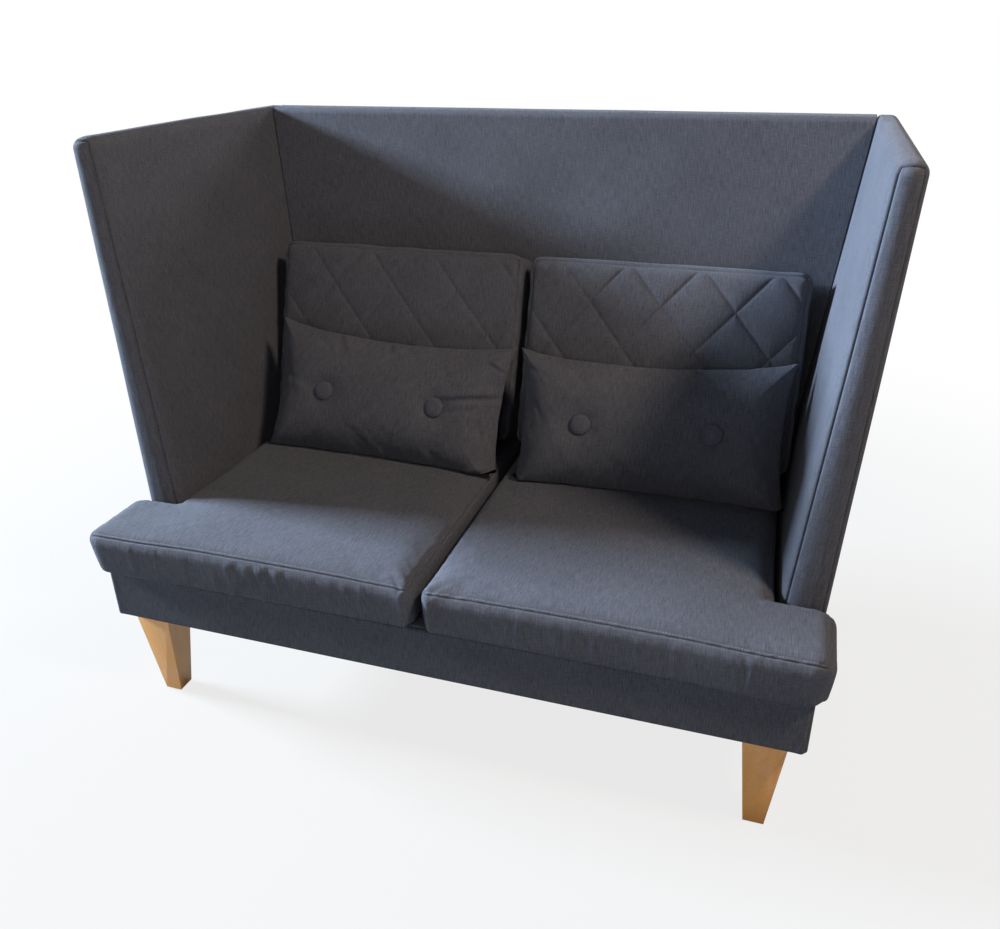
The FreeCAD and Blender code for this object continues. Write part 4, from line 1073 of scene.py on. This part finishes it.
def lumbar_finish(patches, side):
    """Brings a filled pillow to its size: fullest low down, with a sagging top edge, folds and tufts."""
    size = np.array(LUMBAR)
    both = np.concatenate([grid.reshape(-1, 3) for grid, _ in patches])
    low, high = both.min(0), both.max(0)
    shaped = []
    for number, (grid, uv) in enumerate(patches):
        x, y, z = np.moveaxis((grid - (low + high) / 2) * (size / (high - low)), -1, 0)
        u, v = 2 * x / size[0], 2 * z / size[2]
        fuller = 0.78 if number == 0 else 0.92
        y = np.sign(y) * size[1] / 2 * np.abs(2 * y / size[1]) ** fuller * (1 - 0.24 * v) * 0.94
        z = z - 0.009 * (1 - u ** 2) * step(-0.2, 1, v)
        if number == 0:
            for start, end, width, depth in LUMBAR_FOLDS[side]:
                y = y - crease(x, z, start, end, width, depth)
            tufts = [np.argmin(np.hypot(x - place * BUTTON_SPACING / 2, z)) for place in (-1, 1)]
            floor = y.reshape(-1)[tufts]
            for place, depth in zip((-1, 1), TUFT_FLOOR + 0.0015 - floor):
                off = np.hypot(x - place * BUTTON_SPACING / 2, z)
                y = y + depth * (0.75 * bell(off, 0.031) + 0.25 * bell(off, 0.085))
        shaped.append((np.stack([x, y, z], -1), uv))
    return shaped


def make_lumbar_pillows(settings):
    """Two knife-edge pillows, filled by simulation and drawn in at two buttons."""
    moves = None
    def free(points):
        return np.zeros(len(points))
    moves = swell([(lumbar_form(False, LUMBAR_SLACK), free, *LUMBAR_AIR)], LUMBAR_FRAMES)[0]
    for number, (side, x) in enumerate(LUMBAR_X.items()):
        tilt = LUMBAR_TILT * SIDES[side]
        patches = lumbar_form(True, 1.0 if moves is None else LUMBAR_SLACK)
        if moves is not None:
            patches = [(grid + finer(move) * np.array(LUMBAR_SHARE), uv)
                       for (grid, uv), move in zip(patches, moves)]
        patches = lumbar_finish(patches, side)
        shaped = [(leant(grid, x, tilt), uv + 0.23 * number) for grid, uv in patches]
        points, quads, cloth, _ = weld(shaped)
        body = "lumbar_%s" % side
        pillow = make_object(body + "_pillow", points, quads, cloth)
        dress(pillow, "sofa_weave", body, "weave", body + "_core", body + "_cover")
        make_buttons(settings, side, x, tilt)


def make_buttons(settings, side, x, tilt):
    """Covered buttons: a ball pressed to a disc by powers of its radius and its height."""
    grids = cube_grids([np.linspace(0, 1, 21)] * 3)
    both = []
    for place in (-1, 1):
        for unit in grids.values():
            ball = 2 * unit - 1
            ball = ball / np.linalg.norm(ball, axis=-1, keepdims=True)
            radial = np.hypot(ball[..., 0], ball[..., 2])
            across = settings.button_size / 2 * np.maximum(radial, 1e-6) ** -0.35
            height = np.sign(ball[..., 1]) * np.abs(ball[..., 1]) ** 0.8 * BUTTON_HEIGHT
            points = np.stack([across * ball[..., 0] + place * BUTTON_SPACING / 2,
                               TUFT_FLOOR - 0.005 + height, across * ball[..., 2]], -1)
            cloth = np.stack([points[..., 0], points[..., 2]], -1) + 0.05 * place
            both.append((leant(points, x, tilt), cloth))
    points, quads, cloth, _ = weld(both)
    buttons = make_object("lumbar_%s_covered_buttons" % side, points, quads, cloth)
    dress(buttons, "sofa_weave", "lumbar_%s" % side, "weave", "lumbar_%s_buttons" % side)


# Construction that keeps its CAD shape

FINISHES = {
    "lacquered_leg": ["leg_front_left", "leg_front_right", "leg_rear_left", "leg_rear_right"],
    "felt_pad": ["leg_glides"],
    "strap_weave": ["seat_webbing"],
    "plated_steel": ["leg_bolts", "leg_tee_nuts", "wing_bolts", "back_bolts", "corner_bolts"],
    "panel_board": ["wing_left_board", "wing_right_board", "back_board"],
}


def finish_frame():
    """Gives each CAD node that stays its finish; the legs' edges are eased by a small bevel."""
    by_node = {node: finish for finish, members in FINISHES.items() for node in members}
    for name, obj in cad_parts.items():
        finish = by_node.get(name, "rail_timber")
        obj.data.materials.clear()
        obj.data.materials.append(bpy.data.materials[finish])
        if finish == "lacquered_leg":
            joined = obj.modifiers.new("join", "WELD")
            joined.merge_threshold = 0.00005
            eased = obj.modifiers.new("eased edges", "BEVEL")
            eased.width, eased.segments = 0.0018, 3
            eased.limit_method, eased.angle_limit = "ANGLE", math.radians(40)


# Stage

def strip_light(name, place, target, size, power, colour):
    """Long soft light at a place, turned to its target."""
    light = bpy.data.lights.new(name, "AREA")
    light.shape, light.energy, light.color = "RECTANGLE", power, colour
    light.size, light.size_y = size
    obj = bpy.data.objects.new(name, light)
    away = np.array(place, float) - np.array(target, float)
    back = away / np.linalg.norm(away)
    right = np.cross((0, 0, 1), back)
    right = right / np.linalg.norm(right)
    matrix = np.eye(4)
    matrix[:3, 0], matrix[:3, 1] = right, np.cross(back, right)
    matrix[:3, 2], matrix[:3, 3] = back, place
    obj.matrix_world = Matrix(matrix.tolist())
    bpy.context.scene.collection.objects.link(obj)


def make_camera():
    """Camera of the photograph: turned by yaw, pitch and roll at its place."""
    yaw, pitch, roll = CAMERA_TURN
    ahead = np.array([-math.sin(yaw) * math.cos(pitch), math.cos(yaw) * math.cos(pitch),
                      math.sin(pitch)])
    right = np.array([math.cos(yaw), math.sin(yaw), 0])
    up = np.cross(right, ahead)
    matrix = np.eye(4)
    matrix[:3, 0] = right * math.cos(roll) + up * math.sin(roll)
    matrix[:3, 1] = -right * math.sin(roll) + up * math.cos(roll)
    matrix[:3, 2] = -ahead
    matrix[:3, 3] = CAMERA_PLACE
    data = bpy.data.cameras.new("camera")
    data.sensor_width, data.lens = SENSOR_WIDTH, SENSOR_WIDTH * FOCAL_SHARE
    camera = bpy.data.objects.new("camera", data)
    camera.matrix_world = Matrix(matrix.tolist())
    bpy.context.scene.collection.objects.link(camera)
    bpy.context.scene.camera = camera


def make_stage(settings):
    """Pale floor that keeps the shadow, white surroundings for the eye, soft light from four sides."""
    scene = bpy.context.scene
    scene.view_settings.view_transform = "Standard"
    make_camera()
    corners = np.array([[-1, -1, 0], [1, -1, 0], [1, 1, 0], [-1, 1, 0]]) * FLOOR_HALF
    corners = corners - np.array([0, 0, FLOOR_DROP])
    floor = make_object("floor", corners, np.array([[0, 1, 2, 3]]), None, (0, 0, -1))
    material = bpy.data.materials.new("floor_pale")
    material.use_nodes = True
    tree = material.node_tree
    tree.nodes.clear()
    path = add(tree, "ShaderNodeLightPath").outputs
    place = add(tree, "ShaderNodeTexCoord").outputs["Object"]
    far = add(tree, "ShaderNodeVectorMath", {0: place}, operation="LENGTH").outputs["Value"]
    share = add(tree, "ShaderNodeMapRange",
                {0: far, 1: FLOOR_NEAR, 2: FLOOR_FAR, 3: settings.floor_glow, 4: 1.0},
                interpolation_type="SMOOTHSTEP").outputs[0]
    seen = math_node(tree, "MULTIPLY", path["Is Camera Ray"], share)
    glow = add(tree, "ShaderNodeEmission", {"Color": (1, 1, 1, 1), "Strength": 1.0})
    matt = add(tree, "ShaderNodeBsdfDiffuse", {"Color": (FLOOR_GREY, FLOOR_GREY, FLOOR_GREY, 1)})
    both = add(tree, "ShaderNodeMixShader", {0: seen, 1: matt.outputs[0], 2: glow.outputs[0]})
    add(tree, "ShaderNodeOutputMaterial", {"Surface": both.outputs[0]})
    floor.data.materials.append(material)
    world = bpy.data.worlds.new("studio")
    scene.world = world
    world.use_nodes = True
    tree = world.node_tree
    tree.nodes.clear()
    path = add(tree, "ShaderNodeLightPath").outputs
    seen = math_node(tree, "MAXIMUM", path["Is Camera Ray"],
                     math_node(tree, "MAXIMUM", path["Is Glossy Ray"], path["Is Transmission Ray"]))
    soft = add(tree, "ShaderNodeBackground", {"Color": (1, 1, 1, 1), "Strength": settings.surroundings})
    white = add(tree, "ShaderNodeBackground", {"Color": (1, 1, 1, 1), "Strength": 1.0})
    both = add(tree, "ShaderNodeMixShader", {0: seen, 1: soft.outputs[0], 2: white.outputs[0]})
    add(tree, "ShaderNodeOutputWorld", {"Surface": both.outputs[0]})
    for name, (place, target, size, colour) in LIGHTS.items():
        strip_light(name, place, target, size, getattr(settings, name + "_power"), colour)


def make_materials(look):
    """All finishes, and the three groups that they share."""
    weave_group()
    grain_group()
    wear_group()
    woven_material("sofa_weave", look.threads, look.slub, (*look.dark_yarn, 1), (*look.light_yarn, 1),
                   relief=0.0004, sheen=0.06)
    woven_material("dust_lining", 700.0, 0.1, (0.012, 0.012, 0.013, 1), (0.03, 0.03, 0.032, 1),
                   relief=0.0002, sheen=0.0)
    tree, shader = new_material("strap_weave", Specular_IOR_Level=0.3)
    place = add(tree, "ShaderNodeTexCoord").outputs["Object"]
    weave = add(tree, "ShaderNodeGroup", {"Cloth": place},
                node_tree=bpy.data.node_groups["melange_weave"])
    weave.inputs["Threads per metre"].default_value = 500.0
    weave.inputs["Dark yarn"].default_value = (0.05, 0.04, 0.03, 1)
    weave.inputs["Light yarn"].default_value = (0.3, 0.25, 0.18, 1)
    tree.links.new(weave.outputs["Colour"], shader.inputs["Base Color"])
    tree.links.new(weave.outputs["Roughness"], shader.inputs["Roughness"])
    bump(tree, shader, weave.outputs["Height"], 0.6, 0.0006)
    wooden_material("lacquered_leg", 60.0, (*look.leg_early, 1), (*look.leg_late, 1), 0.12)
    wooden_material("rail_timber", 90.0, (0.56, 0.40, 0.22, 1), (0.42, 0.27, 0.13, 1), 0.0)
    plain_material("sewing_thread", (*look.thread, 1), 0.6, 0.0, 400.0, 0.0002)
    plain_material("panel_board", (0.26, 0.17, 0.10, 1), 0.75, 0.0, 60.0, 0.0003)
    plain_material("felt_pad", (0.12, 0.11, 0.10, 1), 0.95, 0.0, 150.0, 0.0005)
    plain_material("plated_steel", (0.55, 0.55, 0.53, 1), 0.32, 1.0, 90.0, 0.0001)


# Settings, operators and panel

class SofaLook(bpy.types.PropertyGroup):
    """Colours and finish of the cloth and the wood."""
    dark_yarn: bpy.props.FloatVectorProperty(
        name="Dark yarn", description="Darker yarn of the melange", subtype="COLOR",
        size=3, min=0, max=1, default=(0.042, 0.045, 0.058))
    light_yarn: bpy.props.FloatVectorProperty(
        name="Light yarn", description="Lighter yarn of the melange", subtype="COLOR",
        size=3, min=0, max=1, default=(0.138, 0.144, 0.177))
    threads: bpy.props.FloatProperty(
        name="Threads per metre", description="Threads of the weave in a metre",
        default=1000.0, min=100.0)
    slub: bpy.props.FloatProperty(
        name="Slub", description="How much thicker and thinner stretches of yarn show",
        default=0.50, min=0.0, max=2.0)
    thread: bpy.props.FloatVectorProperty(
        name="Thread", description="Thread of the topstitching", subtype="COLOR",
        size=3, min=0, max=1, default=(0.085, 0.090, 0.110))
    leg_early: bpy.props.FloatVectorProperty(
        name="Leg wood, light", description="Light bands of the legs", subtype="COLOR",
        size=3, min=0, max=1, default=(0.82, 0.41, 0.132))
    leg_late: bpy.props.FloatVectorProperty(
        name="Leg wood, dark", description="Dark bands of the legs", subtype="COLOR",
        size=3, min=0, max=1, default=(0.72, 0.335, 0.096))


class SofaSizes(bpy.types.PropertyGroup):
    """Sizes of the sewing."""
    seam_depth: bpy.props.FloatProperty(
        name="Seam depth", description="How far a sewn seam sinks", unit="LENGTH",
        default=0.0036, min=0.0)
    quilt_pitch: bpy.props.FloatProperty(
        name="Quilting pitch", description="Width of a diamond", unit="LENGTH",
        default=0.161, min=0.02)
    quilt_height: bpy.props.FloatProperty(
        name="Quilting height", description="Height of a diamond", unit="LENGTH",
        default=0.189, min=0.02)
    quilt_depth: bpy.props.FloatProperty(
        name="Quilting depth", description="How far a diamond puffs up", unit="LENGTH",
        default=0.0026, min=0.0)
    stitch_pitch: bpy.props.FloatProperty(
        name="Stitch", description="Length from one topstitch to the next", unit="LENGTH",
        default=0.0055, min=0.002)
    stitch_setback: bpy.props.FloatProperty(
        name="Stitch setback", description="Topstitching's distance from the seam", unit="LENGTH",
        default=0.011, min=0.002)
    button_size: bpy.props.FloatProperty(
        name="Button", description="Diameter of a covered button", unit="LENGTH",
        default=0.046, min=0.01)


class SofaStage(bpy.types.PropertyGroup):
    """Light and floor."""
    window_power: bpy.props.FloatProperty(
        name="Window", description="Power of the cool light from the left", unit="POWER",
        default=3000.0, min=0.0)
    lamp_power: bpy.props.FloatProperty(
        name="Lamp", description="Power of the warm light from the right", unit="POWER",
        default=100.0, min=0.0)
    front_power: bpy.props.FloatProperty(
        name="Front", description="Power of the weak light from the front", unit="POWER",
        default=22.0, min=0.0)
    behind_power: bpy.props.FloatProperty(
        name="Behind", description="Power of the light on the rear", unit="POWER",
        default=70.0, min=0.0)
    surroundings: bpy.props.FloatProperty(
        name="Surroundings", description="Strength of the light from all round", default=0.03, min=0.0)
    floor_glow: bpy.props.FloatProperty(
        name="Floor glow", description="Share of plain white in the floor for the eye", subtype="FACTOR",
        default=0.80, min=0.0, max=1.0)


class SOFA_OT_materials(bpy.types.Operator):
    """Makes the cloth, wood, board, felt and steel finishes"""
    bl_idname = "sofa.materials"
    bl_label = "Finishes"

    def execute(self, context):
        make_materials(context.scene.sofa_look)
        return {"FINISHED"}


class SOFA_OT_frame(bpy.types.Operator):
    """Finishes the legs and the frame"""
    bl_idname = "sofa.frame"
    bl_label = "Legs and frame"

    def execute(self, context):
        finish_frame()
        return {"FINISHED"}


class SOFA_OT_base(bpy.types.Operator):
    """Upholsters the base and closes it below"""
    bl_idname = "sofa.base"
    bl_label = "Base"

    def execute(self, context):
        make_base(context.scene.sofa_sizes)
        make_dust_cover()
        return {"FINISHED"}


class SOFA_OT_wings(bpy.types.Operator):
    """Upholsters the two wings"""
    bl_idname = "sofa.wings"
    bl_label = "Wings"

    def execute(self, context):
        make_wings(context.scene.sofa_sizes)
        return {"FINISHED"}


class SOFA_OT_back(bpy.types.Operator):
    """Upholsters the back"""
    bl_idname = "sofa.back"
    bl_label = "Back"

    def execute(self, context):
        make_back(context.scene.sofa_sizes)
        return {"FINISHED"}


class SOFA_OT_seat_cushions(bpy.types.Operator):
    """Makes the two L-shaped seat cushions"""
    bl_idname = "sofa.seat_cushions"
    bl_label = "Seat cushions"

    def execute(self, context):
        make_seat_cushions(context.scene.sofa_sizes)
        return {"FINISHED"}


class SOFA_OT_back_cushions(bpy.types.Operator):
    """Makes the two quilted back cushions"""
    bl_idname = "sofa.back_cushions"
    bl_label = "Back cushions"

    def execute(self, context):
        make_back_cushions(context.scene.sofa_sizes)
        return {"FINISHED"}


class SOFA_OT_lumbar_pillows(bpy.types.Operator):
    """Makes the two lumbar pillows and their covered buttons"""
    bl_idname = "sofa.lumbar_pillows"
    bl_label = "Lumbar pillows"

    def execute(self, context):
        make_lumbar_pillows(context.scene.sofa_sizes)
        return {"FINISHED"}


class SOFA_OT_stage(bpy.types.Operator):
    """Makes the camera, floor and light"""
    bl_idname = "sofa.stage"
    bl_label = "Stage"

    def execute(self, context):
        make_stage(context.scene.sofa_stage)
        return {"FINISHED"}


OPERATORS = (SOFA_OT_stage, SOFA_OT_materials, SOFA_OT_frame, SOFA_OT_base, SOFA_OT_wings, SOFA_OT_back,
             SOFA_OT_seat_cushions, SOFA_OT_back_cushions, SOFA_OT_lumbar_pillows)
GROUPS = {"sofa_look": SofaLook, "sofa_sizes": SofaSizes, "sofa_stage": SofaStage}


class SOFA_PT_panel(bpy.types.Panel):
    """Lists the pieces and their settings"""
    bl_idname = "SOFA_PT_panel"
    bl_label = "High-back sofa"
    bl_space_type = "VIEW_3D"
    bl_region_type = "UI"
    bl_category = "Sofa"

    def draw(self, context):
        for operator in OPERATORS:
            self.layout.operator(operator.bl_idname)
        for key, group in GROUPS.items():
            settings = getattr(context.scene, key)
            for label in group.__annotations__:
                self.layout.prop(settings, label)


def register():
    for group in (*GROUPS.values(), *OPERATORS, SOFA_PT_panel):
        bpy.utils.register_class(group)
    for key, group in GROUPS.items():
        setattr(bpy.types.Scene, key, bpy.props.PointerProperty(type=group))


def unregister():
    for key in GROUPS:
        delattr(bpy.types.Scene, key)
    for group in (SOFA_PT_panel, *reversed(OPERATORS), *GROUPS.values()):
        bpy.utils.unregister_class(group)


def main():
    register()
    for operator in OPERATORS:
        group, name = operator.bl_idname.split(".")
        getattr(getattr(bpy.ops, group), name)()


if __name__ == "__main__":
    main()
